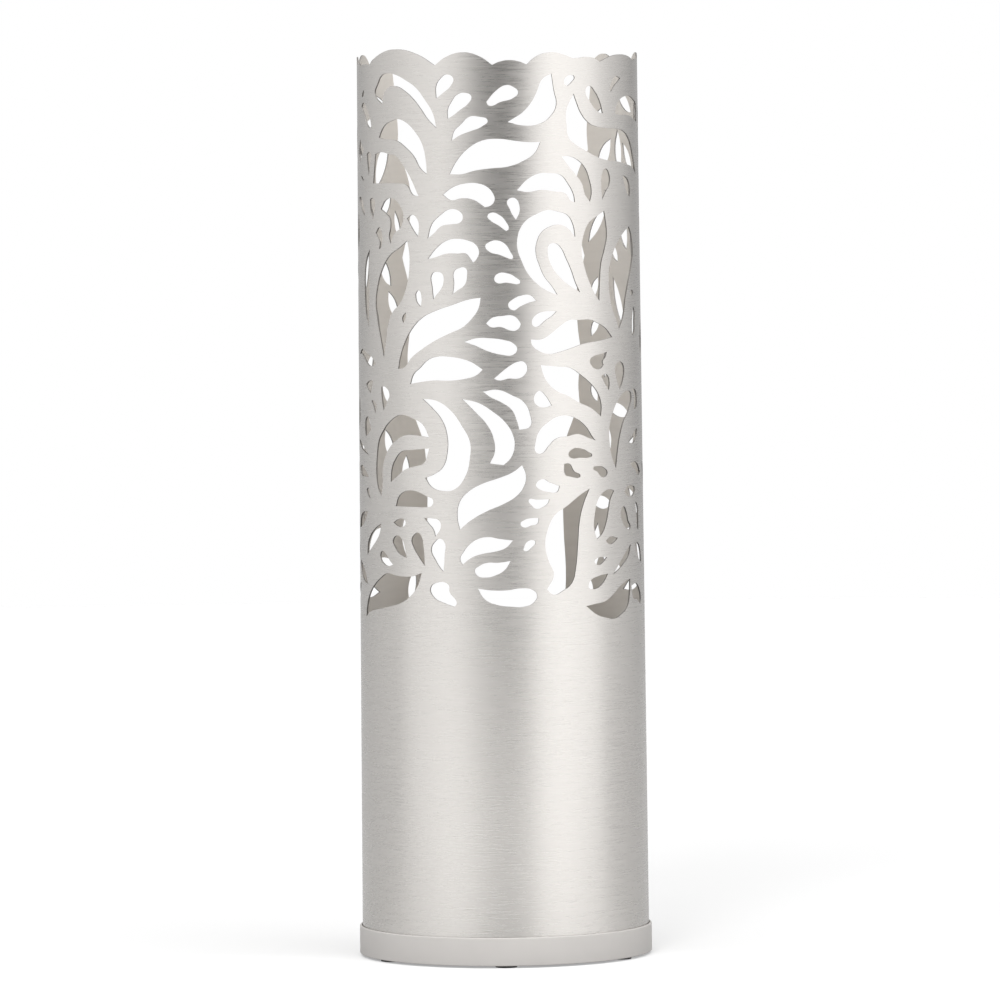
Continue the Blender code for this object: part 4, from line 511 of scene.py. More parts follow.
class Finish(Nodes):
    """A procedural material, made of nodes that end in one Principled shader."""

    def __init__(self, name):
        self.material = bpy.data.materials.new(name)
        self.material.use_nodes = True
        super().__init__(self.material.node_tree)

    def place(self, scale=(1, 1, 1)):
        """Object coordinates, stretched along each axis."""
        where = self.add("ShaderNodeTexCoord", output="Object")
        return self.add("ShaderNodeMapping", {}, {"Vector": where, "Scale": scale})

    def noise(self, scale, detail=3.0, stretch=(1, 1, 1), roughness=0.55):
        return self.add(
            "ShaderNodeTexNoise", {"noise_dimensions": "3D"},
            {"Vector": self.place(stretch), "Scale": scale, "Detail": detail, "Roughness": roughness},
            output=0,
        )

    def tint(self, first, second, share):
        """From the first colour to the second as share goes from 0 to 1."""
        return self.add(
            "ShaderNodeMix", {"data_type": "RGBA"}, {0: share, 6: first, 7: second}, output=2
        )

    def bump(self, height, depth, strength=1.0):
        return self.add(
            "ShaderNodeBump", {}, {"Height": height, "Distance": depth, "Strength": strength}
        )

    def finished(self, inputs):
        shader = self.add("ShaderNodeBsdfPrincipled", {}, inputs)
        self.add("ShaderNodeOutputMaterial", {}, {"Surface": shader})
        return self.material


def shaded(colour, amount):
    """A colour made lighter or darker by a share."""
    return tuple(min(1.0, channel * (1 + amount)) for channel in colour)


def brushed_sheet(colours):
    """Satin stainless sheet, brushed round the stand in short level streaks that come and go."""
    finish = Finish("brushed_sheet")
    fine = finish.noise(1.0, 2.0, (75, 75, 2600))
    coarse = finish.noise(1.0, 3.0, (38, 38, 900))
    cloud = finish.noise(14, 2.0)
    worked = finish.noise(1.0, 3.0, (30, 30, 14))
    streaks = fine * 0.6 + coarse * 0.4
    colour = finish.tint(shaded(colours.steel, -0.10), shaded(colours.steel, 0.10), streaks)
    roughness = 0.30 + (streaks - 0.5) * 0.46 * (worked * 2.0) + (cloud - 0.5) * 0.08
    return finish.finished({
        "Base Color": colour,
        "Metallic": 1.0,
        "Roughness": roughness,
        "Anisotropic": 0.62,
        "Anisotropic Rotation": 0.25,
        "Normal": finish.bump(streaks, 0.000012, 0.6),
    })


def mill_sheet(colours):
    """The inner face of the sheet, left dull and level as it came from the rolling mill. Its colour is
    lighter and warmer than the outside steel as painted light, for the warm light bounced round inside the
    sleeve.
    """
    finish = Finish("mill_sheet")
    pits = finish.noise(900, 3.0)
    rolled = finish.noise(1.0, 2.0, (40, 40, 260))
    # Painted light: the inner face's colour is lighter and warmer than the steel's, for warm bounced light
    # inside the sleeve.
    colour = finish.tint(shaded(colours.inner_face_and_bounce_light, -0.06), shaded(colours.inner_face_and_bounce_light, 0.06), rolled)
    return finish.finished({
        "Base Color": colour,
        "Metallic": 0.62,
        "Roughness": 0.42 + pits * 0.12,
        "Normal": finish.bump(pits, 0.00001, 0.5),
    })


def cut_edge(colours):
    """The laser-cut edge of the sheet: fine ridges through its thickness, a little heat-dulled."""
    finish = Finish("cut_edge")
    ridges = finish.noise(5200, 1.0)
    heat = finish.noise(160, 2.0)
    colour = finish.tint(shaded(colours.cut_edge, -0.35), shaded(colours.cut_edge, 0.25), heat)
    return finish.finished({
        "Base Color": colour,
        "Metallic": 1.0,
        "Roughness": 0.42 + heat * 0.14,
        "Normal": finish.bump(ridges, 0.00003, 0.7),
    })


def moulded_plastic(name, colour, roughness, grain=5200, depth=0.000025, mottle=0.06):
    """Spark-eroded satin plastic with a faint mottling."""
    finish = Finish(name)
    texture = finish.noise(grain, 2.0)
    cloud = finish.noise(38, 3.0)
    return finish.finished({
        "Base Color": finish.tint(shaded(colour, -mottle), shaded(colour, mottle), cloud),
        "Roughness": roughness + cloud * 0.06 + texture * 0.05,
        "Specular IOR Level": 0.45,
        "Normal": finish.bump(texture, depth, 0.8),
    })


def zinc_plate(colours):
    """Bright zinc plating with soft spangles and faint drawing lines."""
    finish = Finish("zinc_plate")
    spangle = finish.add(
        "ShaderNodeTexVoronoi", {"feature": "F1"}, {"Vector": finish.place(), "Scale": 420.0}
    )
    lines = finish.noise(900, 2.0, (1, 1, 0.2))
    blend = spangle * 0.5 + lines * 0.5
    return finish.finished({
        "Base Color": finish.tint(shaded(colours.plated, -0.15), shaded(colours.plated, 0.18), blend),
        "Metallic": 1.0,
        "Roughness": 0.26 + blend * 0.16,
        "Normal": finish.bump(lines, 0.00002, 0.5),
    })


def cast_iron(colours):
    """A sand casting under a thin black coat: pebbled, with dull bare high spots."""
    finish = Finish("cast_iron")
    sand = finish.noise(850, 4.0)
    lumps = finish.noise(95, 2.0)
    worn = (sand * 0.6 + lumps * 0.4).above(0.585)
    return finish.finished({
        "Base Color": finish.tint(colours.iron, shaded(colours.iron, 1.2), worn),
        "Metallic": 0.25 + worn * 0.3,
        "Roughness": 0.66 - worn * 0.16,
        "Normal": finish.bump(sand + lumps * 2.0, 0.00016, 0.9),
    })


def pad_rubber(colours):
    finish = Finish("pad_rubber")
    pores = finish.noise(3600, 3.0)
    scuffs = finish.noise(240, 3.0)
    return finish.finished({
        "Base Color": finish.tint(colours.rubber, shaded(colours.rubber, 1.6), scuffs),
        "Roughness": 0.72 + pores * 0.18,
        "Specular IOR Level": 0.35,
        "Normal": finish.bump(pores, 0.00004, 0.8),
    })


# ---- shapes --------------------------------------------------------------------------------------


def on_circle(radius, bearing, z=0.0):
    """A point at a bearing round the stand."""
    angle = math.radians(bearing)
    return Vector((radius * math.sin(angle), -radius * math.cos(angle), z))


def add_piece(name, mesh, materials, body, replaced):
    """An object that rides on a body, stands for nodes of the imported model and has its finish."""
    piece = bpy.data.objects.new(name, mesh)
    for material in materials:
        mesh.materials.append(material)
    bpy.context.scene.collection.objects.link(piece)
    bpy.context.view_layer.update()
    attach(piece, body)
    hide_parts(*replaced)
    return piece


def mesh_from(bm, name, sharp_over=32):
    """The finished mesh: faces out, smooth but for edges sharper than an angle in degrees."""
    bmesh.ops.remove_doubles(bm, verts=bm.verts, dist=1e-7)
    bmesh.ops.recalc_face_normals(bm, faces=bm.faces)
    mesh = bpy.data.meshes.new(name)
    bm.to_mesh(mesh)
    bm.free()
    mesh.shade_smooth()
    mesh.set_sharp_from_angle(angle=math.radians(sharp_over))
    return mesh


def rounded(corners, steps=5):
    """A closed profile of (radius, z[, fillet]) with each fillet drawn as an arc."""
    points = []
    for i, (r, z, *fillet) in enumerate(corners):
        here = Vector((r, z))
        if not fillet:
            points.append((r, z))
            continue
        to_last = (Vector(corners[i - 1][:2]) - here).normalized()
        to_next = (Vector(corners[(i + 1) % len(corners)][:2]) - here).normalized()
        half = to_last.angle(to_next) / 2
        centre = here + (to_last + to_next).normalized() * (fillet[0] / math.sin(half))
        start = here + to_last * (fillet[0] / math.tan(half)) - centre
        end = here + to_next * (fillet[0] / math.tan(half)) - centre
        first = math.atan2(start.y, start.x)
        sweep = (math.atan2(end.y, end.x) - first + math.pi) % math.tau - math.pi
        for step in range(steps + 1):
            angle = first + sweep * step / steps
            points.append((centre.x + fillet[0] * math.cos(angle), centre.y + fillet[0] * math.sin(angle)))
    return points


def turned(profile, steps, reach=None):
    """A bmesh of a closed profile turned about +Z. reach may change a radius by its angle."""
    bm = bmesh.new()
    columns = []
    for i in range(steps):
        angle = math.tau * i / steps
        column = []
        for r, z in profile:
            radius = reach(r, z, angle) if reach else r
            column.append(bm.verts.new((radius * math.cos(angle), radius * math.sin(angle), z)))
        columns.append(column)
    for i, column in enumerate(columns):
        following = columns[(i + 1) % steps]
        for j in range(len(profile)):
            k = (j + 1) % len(profile)
            if profile[j][0] == 0 and profile[k][0] == 0:
                continue
            corners = [column[j], following[j], following[k], column[k]]
            if profile[j][0] == 0:
                corners.pop(1)
            elif profile[k][0] == 0:
                corners.pop(2)
            bm.faces.new(corners)
    return bm


def rod(radius, low, high, steps=32):
    """A plain cylinder between two heights, for cutting round holes."""
    return turned([(0, low), (radius, low), (radius, high), (0, high)], steps)


def softened_box(size, place, rounding, turn=0.0, segments=3):
    """A box with rounded edges, turned about +Z by an angle in degrees."""
    bm = bmesh.new()
    bmesh.ops.create_cube(bm, size=1)
    bmesh.ops.scale(bm, verts=bm.verts, vec=size)
    bmesh.ops.bevel(bm, geom=bm.edges[:], offset=rounding, segments=segments, affect="EDGES", profile=0.5)
    matrix = Matrix.Translation(place) @ Matrix.Rotation(math.radians(turn), 4, "Z")
    bmesh.ops.transform(bm, verts=bm.verts, matrix=matrix)
    return bm


def joined(parts):
    """One bmesh of several, each moved to its place."""
    whole = bmesh.new()
    for part, place in parts:
        part.transform(Matrix.Translation(place))
        mesh = bpy.data.meshes.new("joined")
        part.to_mesh(mesh)
        part.free()
        whole.from_mesh(mesh)
        bpy.data.meshes.remove(mesh)
    return whole


def combined(bm, operation, other):
    """The Boolean of two bmeshes, as a new bmesh."""
    objects = []
    for part in (bm, other):
        bmesh.ops.remove_doubles(part, verts=part.verts, dist=1e-7)
        bmesh.ops.recalc_face_normals(part, faces=part.faces)
        mesh = bpy.data.meshes.new("operand")
        part.to_mesh(mesh)
        part.free()
        objects.append(bpy.data.objects.new("operand", mesh))
        bpy.context.scene.collection.objects.link(objects[-1])
    boolean = objects[0].modifiers.new("boolean", "BOOLEAN")
    boolean.operation = operation
    boolean.object = objects[1]
    bpy.context.view_layer.update()
    evaluated = objects[0].evaluated_get(bpy.context.evaluated_depsgraph_get())
    result = bmesh.new()
    result.from_mesh(evaluated.to_mesh())
    evaluated.to_mesh_clear()
    for obj in objects:
        mesh = obj.data
        bpy.data.objects.remove(obj, do_unlink=True)
        bpy.data.meshes.remove(mesh)
    return result


# ---- the pierced sleeve --------------------------------------------------------------------------


def flat(bearing, height):
    """A drawn point on the flat blank, in metres."""
    return math.radians(bearing) * DRAWN_RADIUS, height * TOTAL_HEIGHT / DRAWN_HEIGHT


def leaf_outline(bearing, height, length, width, lean):
    """A leaf with two sharp tips, bowed a little to one side, as a drawn outline."""
    shape = [(0, 0.5, T), (0.44, 0.14, False), (0.4, -0.22, False),
             (0, -0.5, T), (-0.3, -0.16, False), (-0.3, 0.18, False)]
    angle = math.radians(lean)
    millimetre = 1 / (math.radians(1) * DRAWN_RADIUS * 1000)  # degrees of bearing per millimetre
    outline = []
    for across, along, sharp in shape:
        x = across * width * math.cos(angle) + along * length * math.sin(angle)
        y = along * length * math.cos(angle) - across * width * math.sin(angle)
        outline.append((bearing + x * millimetre, height + y, sharp))
    return outline


def add_outline(curve, points, steps):
    """A closed spline through drawn points (bearing, height[, sharp])."""
    spline = curve.splines.new("BEZIER")
    spline.bezier_points.add(len(points) - 1)
    spline.use_cyclic_u = True
    spline.resolution_u = steps
    for knot, point in zip(spline.bezier_points, points):
        knot.co = (*flat(point[0], point[1]), 0)
        sharp = len(point) > 2 and point[2]
        knot.handle_left_type = knot.handle_right_type = "VECTOR" if sharp else "AUTO"


def rim_points():
    """The scallops, from the left edge of the open back round the front to the right edge."""
    points = []
    ends = RIM[1:] + [(*RIM_END, 0)]
    for (start, low, crown), (end, next_low, _) in zip(RIM, ends):
        points.append((start, low, T))
        for share in (0.2, 0.5, 0.8):
            foot = low + (next_low - low) * share
            rise = (crown - foot) * (1 - (2 * share - 1) ** 2)
            points.append((start + (end - start) * share, foot + rise))
    return points + [(*RIM_END, T)]


def blank_points(sizes):
    """The outside of the flat blank, counter-clockwise from the foot of the seam on the left."""
    half_gap = math.degrees(sizes.seam_gap / 2 / sizes.sleeve_radius)
    left, right = REAR_BEARING - 360 + half_gap, REAR_BEARING - half_gap
    foot = SLEEVE_FOOT / TOTAL_HEIGHT * DRAWN_HEIGHT
    edge = [(half, height, len(rest) > 0) for half, height, *rest in REAR_EDGE]
    right_edge = [(REAR_BEARING - half, height, sharp) for half, height, sharp in edge[1:]]
    left_edge = [(REAR_BEARING - 360 + half, height, sharp) for half, height, sharp in edge[1:]]
    seam_top = edge[0][1]
    return (
        [(left, foot, T), (right, foot, T), (right, seam_top, T)]
        + right_edge
        + list(reversed(rim_points()))
        + list(reversed(left_edge))
        + [(left, seam_top, T)]
    )


def sleeve_blank(sizes):
    """The flat, pierced blank as a mesh of the sheet's thickness."""
    curve = bpy.data.curves.new("sleeve_blank", "CURVE")
    curve.dimensions = "2D"
    curve.fill_mode = "BOTH"
    curve.extrude = sizes.sheet / 2
    add_outline(curve, blank_points(sizes), sizes.outline_steps)
    for outline in CUT_OUTS.values():
        add_outline(curve, outline, sizes.outline_steps)
    for leaf in FLANK_LEAVES:
        add_outline(curve, leaf_outline(*leaf), sizes.outline_steps)
    obj = bpy.data.objects.new("sleeve_blank", curve)
    bpy.context.scene.collection.objects.link(obj)
    bpy.context.view_layer.update()
    evaluated = obj.evaluated_get(bpy.context.evaluated_depsgraph_get())
    mesh = bpy.data.meshes.new_from_object(evaluated)
    bpy.data.objects.remove(obj, do_unlink=True)
    bpy.data.curves.remove(curve)
    return mesh


def rolled_sheet(sizes):
    """The blank rolled into the tapered sleeve, as a mesh whose skins are shaded as one curve."""
    bm = bmesh.new()
    blank = sleeve_blank(sizes)
    bm.from_mesh(blank)
    bpy.data.meshes.remove(blank)
    bmesh.ops.remove_doubles(bm, verts=bm.verts, dist=1e-6)
    strip = math.degrees(sizes.strip)
    for i in range(math.ceil((REAR_BEARING - 360) / strip), math.floor(REAR_BEARING / strip) + 1):
        where = Vector((*flat(i * strip, 0), 0))
        everything = bm.verts[:] + bm.edges[:] + bm.faces[:]
        bmesh.ops.bisect_plane(bm, geom=everything, dist=1e-6, plane_co=where, plane_no=(1, 0, 0))
    bmesh.ops.triangulate(bm, faces=bm.faces)
    bmesh.ops.recalc_face_normals(bm, faces=bm.faces)
    bm.normal_update()
    for face in bm.faces:
        face.smooth = True
        face.material_index = 0 if face.normal.z > 0.5 else 2 if face.normal.z < -0.5 else 1
    slope = sizes.rim_draw_in / TOTAL_HEIGHT
    for vert in bm.verts:
        across, height, depth = vert.co
        radius = sizes.sleeve_radius - slope * height - sizes.sheet / 2 + depth
        vert.co = on_circle(radius, math.degrees(across / DRAWN_RADIUS), height)
    bm.normal_update()
    normals = []
    for face in bm.faces:
        for loop in face.loops:
            if face.material_index == 1:
                normals.append(face.normal.copy())
                continue
            x, y, _ = loop.vert.co
            outward = Vector((x, y, slope * math.hypot(x, y))).normalized()
            normals.append(outward if face.normal.dot(outward) > 0 else -outward)
    mesh = bpy.data.meshes.new("sleeve_sheet")
    bm.to_mesh(mesh)
    bm.free()
    mesh.normals_split_custom_set(normals)
    return mesh


class UMBRELLA_OT_sleeve(bpy.types.Operator):
    """Rolls the pierced steel sleeve"""

    bl_idname = "umbrella.sleeve"
    bl_label = "Sleeve"

    def execute(self, context):
        mesh = rolled_sheet(context.scene.stand_sizes)
        colours = context.scene.stand_finishes
        materials = (brushed_sheet(colours), cut_edge(colours), mill_sheet(colours))
        add_piece("sleeve_sheet", mesh, materials, "stand", ["sleeve"])
        return {"FINISHED"}


# ---- the foot ------------------------------------------------------------------------------------

GROOVE_OUTER = 0.0796  # the ring's groove round the sleeve's foot
GROOVE_INNER = 0.0777
GROOVE_LIP = 0.0015
RING_FLANGE = 0.0034
RING_BORE = 0.0620
PAD_RADIUS = 0.0060
PAD_POCKET = 0.0014
SCREW_HEAD_RADIUS = 0.0030
SCREW_SHANK_RADIUS = 0.0014
SCREW_SEAT = 0.0019  # from the underside of a screw's head to where it seats
GROOVE_LIP_DROP = 0.0014  # how far the groove's inner lip stays under the ring's top
PAN_SHEET = 0.001
PAN_STEP = 0.019
STUD_HOLE_RADIUS = 0.0035
NUT_BORE = 0.0028
OVERCUT = 0.002  # how far a cutter starts below the face that it cuts


def places_of(stem, z):
    """Where a repeated piece stands, at a height."""
    return [Vector((*middle_of(name).xy, z)) for name in nodes_named(stem)]


class UMBRELLA_OT_base_ring(bpy.types.Operator):
    """Moulds the plastic base ring, with its groove, pad pockets and screw seats"""

    bl_idname = "umbrella.base_ring"
    bl_label = "Base ring"

    def execute(self, context):
        sizes = context.scene.stand_sizes
        colours = context.scene.stand_finishes
        outer, top, foot = RING_HIGH.x, RING_HIGH.z, RING_LOW.z
        lip = GROOVE_INNER - GROOVE_LIP
        groove_floor = SLEEVE_FOOT - GAP
        ring = turned(rounded([
            (outer, foot, 0.0006), (outer, top, sizes.ring_edge), (GROOVE_OUTER, top, 0.0002),
            (GROOVE_OUTER, groove_floor), (GROOVE_INNER, groove_floor),
            (GROOVE_INNER, top - GROOVE_LIP_DROP, 0.0003), (lip, top - GROOVE_LIP_DROP, 0.0003),
            (lip, foot + RING_FLANGE, 0.0008), (RING_BORE, foot + RING_FLANGE, 0.0005),
            (RING_BORE, foot, 0.0005),
        ]), 256)
        below = foot - OVERCUT
        head_seat = box_of("ring_screw_1")[0].z + SCREW_SEAT - foot
        cutters = [(rod(PAD_RADIUS + GAP, 0, PAD_POCKET + GAP + OVERCUT, 64), place)
                   for place in places_of("rubber_pad", below)]
        cutters += [(rod(SCREW_HEAD_RADIUS + GAP, 0, head_seat + OVERCUT, 48), place)
                    for place in places_of("ring_screw", below)]
        cutters += [(rod(SCREW_SHANK_RADIUS + GAP, 0, 0.010, 32), place)
                    for place in places_of("ring_screw", below + 0.0011)]
        for cutter in cutters:
            ring = combined(ring, "DIFFERENCE", joined([cutter]))
        mesh = mesh_from(ring, "ring_moulding")
        material = moulded_plastic("ring_plastic", colours.ring, 0.36)
        add_piece("ring_moulding", mesh, [material], "stand", ["base_ring"])
        return {"FINISHED"}


class UMBRELLA_OT_bottom_pan(bpy.types.Operator):
    """Presses the pan that closes the foot"""

    bl_idname = "umbrella.bottom_pan"
    bl_label = "Bottom pan"

    def execute(self, context):
        wall = GROOVE_INNER - GROOVE_LIP - GAP
        collar, top, floor = PAN_HIGH.x, PAN_HIGH.z, PAN_LOW.z
        step = PAN_STEP - GAP
        pan = turned(rounded([
            (0, floor), (wall, floor, 0.0016), (wall, step, 0.0006), (collar, step, 0.0012),
            (collar, top, 0.0003), (collar - PAN_SHEET, top, 0.0003),
            (collar - PAN_SHEET, step + PAN_SHEET, 0.0006),
            (wall - PAN_SHEET, step + PAN_SHEET, 0.0012),
            (wall - PAN_SHEET, floor + PAN_SHEET, 0.0006), (0, floor + PAN_SHEET),
        ]), 192)
        for place in places_of("ring_screw", floor - OVERCUT):
            hole = joined([(rod(SCREW_SHANK_RADIUS + GAP, 0, 0.006), place)])
            pan = combined(pan, "DIFFERENCE", hole)
        material = zinc_plate(context.scene.stand_finishes)
        mesh = mesh_from(pan, "pan_pressing")
        add_piece("pan_pressing", mesh, [material], "stand", ["bottom_pan"])
        return {"FINISHED"}


def threaded_profile(radius, low, high, pitch, depth):
    """Half the outline of a threaded rod, as rings of thread with a chamfer at the top."""
    points = [(0, low), (radius - depth, low)]
    for i in range(int((high - low - 2 * pitch) / pitch)):
        foot = low + pitch * (i + 0.5)
        points += [(radius - depth, foot), (radius, foot + pitch * 0.4), (radius, foot + pitch * 0.6)]
    return points + [(radius - depth, high - pitch), (radius - 1.5 * depth, high), (0, high)]


class UMBRELLA_OT_ballast(bpy.types.Operator):
    """Casts the ballast plate and fits its studs, washers and nuts"""

    bl_idname = "umbrella.ballast"
    bl_label = "Ballast"

    def execute(self, context):
        colours = context.scene.stand_finishes
        radius, foot, top = BALLAST_HIGH.x, BALLAST_LOW.z, BALLAST_HIGH.z
        plate = turned(rounded([
            (0, foot), (radius, foot, 0.0012), (radius - 0.0004, top, 0.0016), (0, top)
        ]), 160)
        for place in places_of("pan_stud", foot - OVERCUT):
            hole = joined([(rod(STUD_HOLE_RADIUS, 0, 0.016, 48), place)])
            plate = combined(plate, "DIFFERENCE", hole)
        mesh = mesh_from(plate, "ballast_casting")
        add_piece("ballast_casting", mesh, [cast_iron(colours)], "stand", ["ballast_plate"])
        plating = bpy.data.materials.get("zinc_plate") or zinc_plate(colours)
        for stem, build in (("pan_stud", stud), ("stud_washer", washer), ("stud_nut", nut)):
            add_copies(stem, build, plating)
        return {"FINISHED"}


def add_copies(stem, build, material):
    """One piece for each node of a repeated piece, named after it."""
    for name in nodes_named(stem):
        low, high = box_of(name)
        bm = build(min(high.x - low.x, high.y - low.y) / 2, high.z - low.z)
        bm.transform(Matrix.Translation(middle_of(name)))
        piece = "fine_" + name
        add_piece(piece, mesh_from(bm, piece), [material], "stand", [name])


def stud(radius, height):
    return turned(threaded_profile(radius, 0, height, 0.0008, 0.0003), 40)


def washer(radius, height):
    edge = 0.0002
    return turned(rounded([
        (radius, 0, edge), (radius, height, edge), (NUT_BORE, height, edge), (NUT_BORE, 0, edge)
    ], 3), 72)


def nut(across, height):
    """A hexagon nut: flats all round, its corners chamfered at both ends."""
    bore, chamfer = NUT_BORE, 0.0007
    corner = across / math.cos(math.pi / 6)

    def reach(r, z, angle):
        if r < across:
            return r
        off_flat = (angle + math.pi / 6) % (math.pi / 3) - math.pi / 6
        from_end = min(z, height - z)
        limit = across * 1.01 + (corner - across * 1.01) * min(1.0, from_end / chamfer) ** 0.5
        return min(across / math.cos(off_flat), limit)

    outside = [(across, height * share) for share in (0, 0.04, 0.1, 0.175, 0.5, 0.825, 0.9, 0.96, 1)]
    inside = [(bore + 0.0004, height), (bore, height - 0.0004), (bore, 0.0004), (bore + 0.0004, 0)]
    return turned(outside + inside, 72, reach)


def ring_screw(radius, height):
    """A pan-head self-tapping screw that stands head down, with a cross recess."""
    head = 0.0016
    shank = SCREW_SHANK_RADIUS
    thread = [(r, z) for r, z in threaded_profile(shank, head, height, 0.0011, 0.0003) if r > 0]
    profile = [(0, 0), (radius * 0.55, 0)]
    for share in (0.3, 0.6, 0.85, 1.0):
        angle = share * math.pi / 2
        profile.append((radius * (0.55 + 0.45 * math.sin(angle)), 0.9 * head * (1 - math.cos(angle))))
    profile += [(radius, head)] + thread + [(0, height)]
    screw = turned(profile, 40)
    for turn in (0, 90):
        blade = softened_box((radius * 1.15, radius * 0.24, 0.0018), (0, 0, 0), 0.0001, turn, 1)
        screw = combined(screw, "DIFFERENCE", blade)
    return screw


class UMBRELLA_OT_ring_screws(bpy.types.Operator):
    """Makes the screws that hold the base ring to the pan"""

    bl_idname = "umbrella.ring_screws"
    bl_label = "Ring screws"

    def execute(self, context):
        plating = bpy.data.materials.get("zinc_plate") or zinc_plate(context.scene.stand_finishes)
        add_copies("ring_screw", ring_screw, plating)
        return {"FINISHED"}


def rubber_pad(radius, height):
    """A pad with a rounded tread and a shallow dish in its underside."""
    return turned(rounded([
        (0, 0.0003), (radius * 0.55, 0.0003, 0.0003), (radius * 0.62, 0, 0.0002),
        (radius, 0, 0.0004), (radius, height, 0.0002), (0, height),
    ], 4), 64)


class UMBRELLA_OT_rubber_pads(bpy.types.Operator):
    """Makes the rubber pads that the stand rests on"""

    bl_idname = "umbrella.rubber_pads"
    bl_label = "Rubber pads"

    def execute(self, context):
        material = pad_rubber(context.scene.stand_finishes)
        add_copies("rubber_pad", rubber_pad, material)
        return {"FINISHED"}


# ---- the drip tray -------------------------------------------------------------------------------

TRAY_FLOOR = 0.0242
TRAY_LIP = 0.0010
TRAY_LIP_HEIGHT = 0.0025
TRAY_FOOT_RADIUS = 0.058
TRAY_FOOT_WIDTH = 0.003
RIB_START = 0.016  # radius where the ribs begin
RIB_COUNT = 8
RIB_HEIGHT = 0.0025
GRIP_SIZE = (0.030, 0.011)  # length and height of a finger slot
GRIP_DROP = 0.0055  # from the lip down to a slot


class UMBRELLA_OT_drip_tray(bpy.types.Operator):
    """Moulds the drip tray, with its ribs, foot ring and finger slots"""

    bl_idname = "umbrella.drip_tray"
    bl_label = "Drip tray"

    def execute(self, context):
        wall = context.scene.stand_sizes.tray_wall
        lip, top = TRAY_HIGH.x, TRAY_HIGH.z
        outer = lip - TRAY_LIP
        inner = outer - wall
        floor_top = TRAY_FLOOR + wall
        foot_out = TRAY_FOOT_RADIUS + TRAY_FOOT_WIDTH / 2
        foot_in = TRAY_FOOT_RADIUS - TRAY_FOOT_WIDTH / 2
        tray = turned(rounded([
            (0, TRAY_FLOOR), (foot_in, TRAY_FLOOR, 0.0006), (foot_in, TRAY_LOW.z, 0.0006),
            (foot_out, TRAY_LOW.z, 0.0006), (foot_out, TRAY_FLOOR, 0.0006),
            (outer, TRAY_FLOOR, 0.0040), (outer, top - TRAY_LIP_HEIGHT, 0.0004),
            (lip, top - TRAY_LIP_HEIGHT, 0.0004), (lip, top, 0.0007), (inner, top, 0.0006),
            (inner, floor_top, 0.0034), (0, floor_top),
        ]), 192)
        length = TRAY_FOOT_RADIUS - RIB_START
        size = (length, 0.0022, RIB_HEIGHT + 0.0010)
        height = floor_top + (RIB_HEIGHT - 0.0010) / 2
        for i in range(RIB_COUNT):
            bearing = 360 * (i + 0.5) / RIB_COUNT
            place = on_circle(RIB_START + length / 2, bearing, height)
            rib = softened_box(size, place, 0.0006, bearing - 90)
            tray = combined(tray, "UNION", rib)
        slot_z = top - GRIP_DROP - GRIP_SIZE[1] / 2
        for side in (-1, 1):
            place = (0, side * outer, slot_z)
            slot = softened_box((GRIP_SIZE[0], 0.016, GRIP_SIZE[1]), place, 0.0025, segments=5)
            tray = combined(tray, "DIFFERENCE", slot)
        material = moulded_plastic(
            "tray_plastic", context.scene.stand_finishes.tray, 0.38, 4200, 0.00004, 0.12
        )
        mesh = mesh_from(tray, "tray_moulding")
        add_piece("tray_moulding", mesh, [material], "tray", ["drip_tray"])
        return {"FINISHED"}


# ---- the stage -----------------------------------------------------------------------------------

# The studio's brightness all round, as (bearing, brightness): bright on both sides of the front, dim
# straight ahead. STUDIO_HEIGHT multiplies it, from straight down at 0 to straight up at 1.
STUDIO_ROUND = (
    (-180, 0.54), (-150, 0.53), (-121, 0.78), (-101, 0.90), (-81, 1.00), (-63, 1.08), (-46, 1.17),
    (-31, 0.92), (-18, 0.42), (-6, 0.10), (6, 0.04), (18, 0.36), (31, 1.25), (46, 1.62), (63, 1.54),
    (81, 1.42), (101, 0.98), (121, 0.73), (144, 0.46), (180, 0.54),
)
STUDIO_HEIGHT = ((0.0, 0.75), (0.45, 0.9), (0.55, 1.0), (0.8, 1.1), (0.88, 1.8), (1.0, 2.1))
HEIGHT_SCALE = 2  # a ramp holds no more than 1, so the height's levels are halved and put back
# Painted shade: the floor's base colour is darker behind the stand than in front, for the dimmer
# surroundings behind as the sleeve reflects them.
FLOOR_PAINTED_SHADE_BEHIND = (0.42, 0.42, 0.42)
FLOOR_IN_FRONT = (0.74, 0.74, 0.74)
FLOOR_FADE = 1 / 3  # metres in front of the stand over which the floor goes from one to the other
FLOOR_GLOW = 0.38  # added where the camera looks, so that the unshaded floor is white
SUN_ANGLE = 16  # degrees across, for a soft shadow
SUN_DIRECTION = (0.23, 0.95, -0.74)
FILL_SIZE = (0.6, 0.4)
FILL_PLACE = (0, -0.6, 0.55)


def studio_world():
    """Soft light from all round that is white where it's looked at."""
    world = bpy.data.worlds.new("studio")
    world.use_nodes = True
    nodes = Nodes(world.node_tree)
    direction = nodes.add("ShaderNodeTexCoord", output="Generated")
    parts = nodes.add("ShaderNodeSeparateXYZ", {}, {0: direction}).socket.node.outputs
    x, y, z = (Wire(nodes, output) for output in parts)
    bearing = x.maths("ARCTAN2", x, y * -1.0) / math.tau + 0.5
    peak = max(brightness for _, brightness in STUDIO_ROUND)
    round_stops = [(degrees / 360 + 0.5, value / peak) for degrees, value in STUDIO_ROUND]
    height_stops = [(place, value / HEIGHT_SCALE) for place, value in STUDIO_HEIGHT]
    around = nodes.add("ShaderNodeValToRGB", {"stops": round_stops}, {0: bearing})
    height = nodes.add("ShaderNodeValToRGB", {"stops": height_stops}, {0: z * 0.5 + 0.5})
    seen = nodes.add("ShaderNodeLightPath", output="Is Camera Ray")
    light = around * height * (HEIGHT_SCALE * peak)
    strength = light * (1 - seen) + seen
    shader = nodes.add("ShaderNodeBackground", {}, {"Color": (1, 1, 1), "Strength": strength})
    nodes.add("ShaderNodeOutputWorld", {}, {"Surface": shader})
    bpy.context.scene.world = world


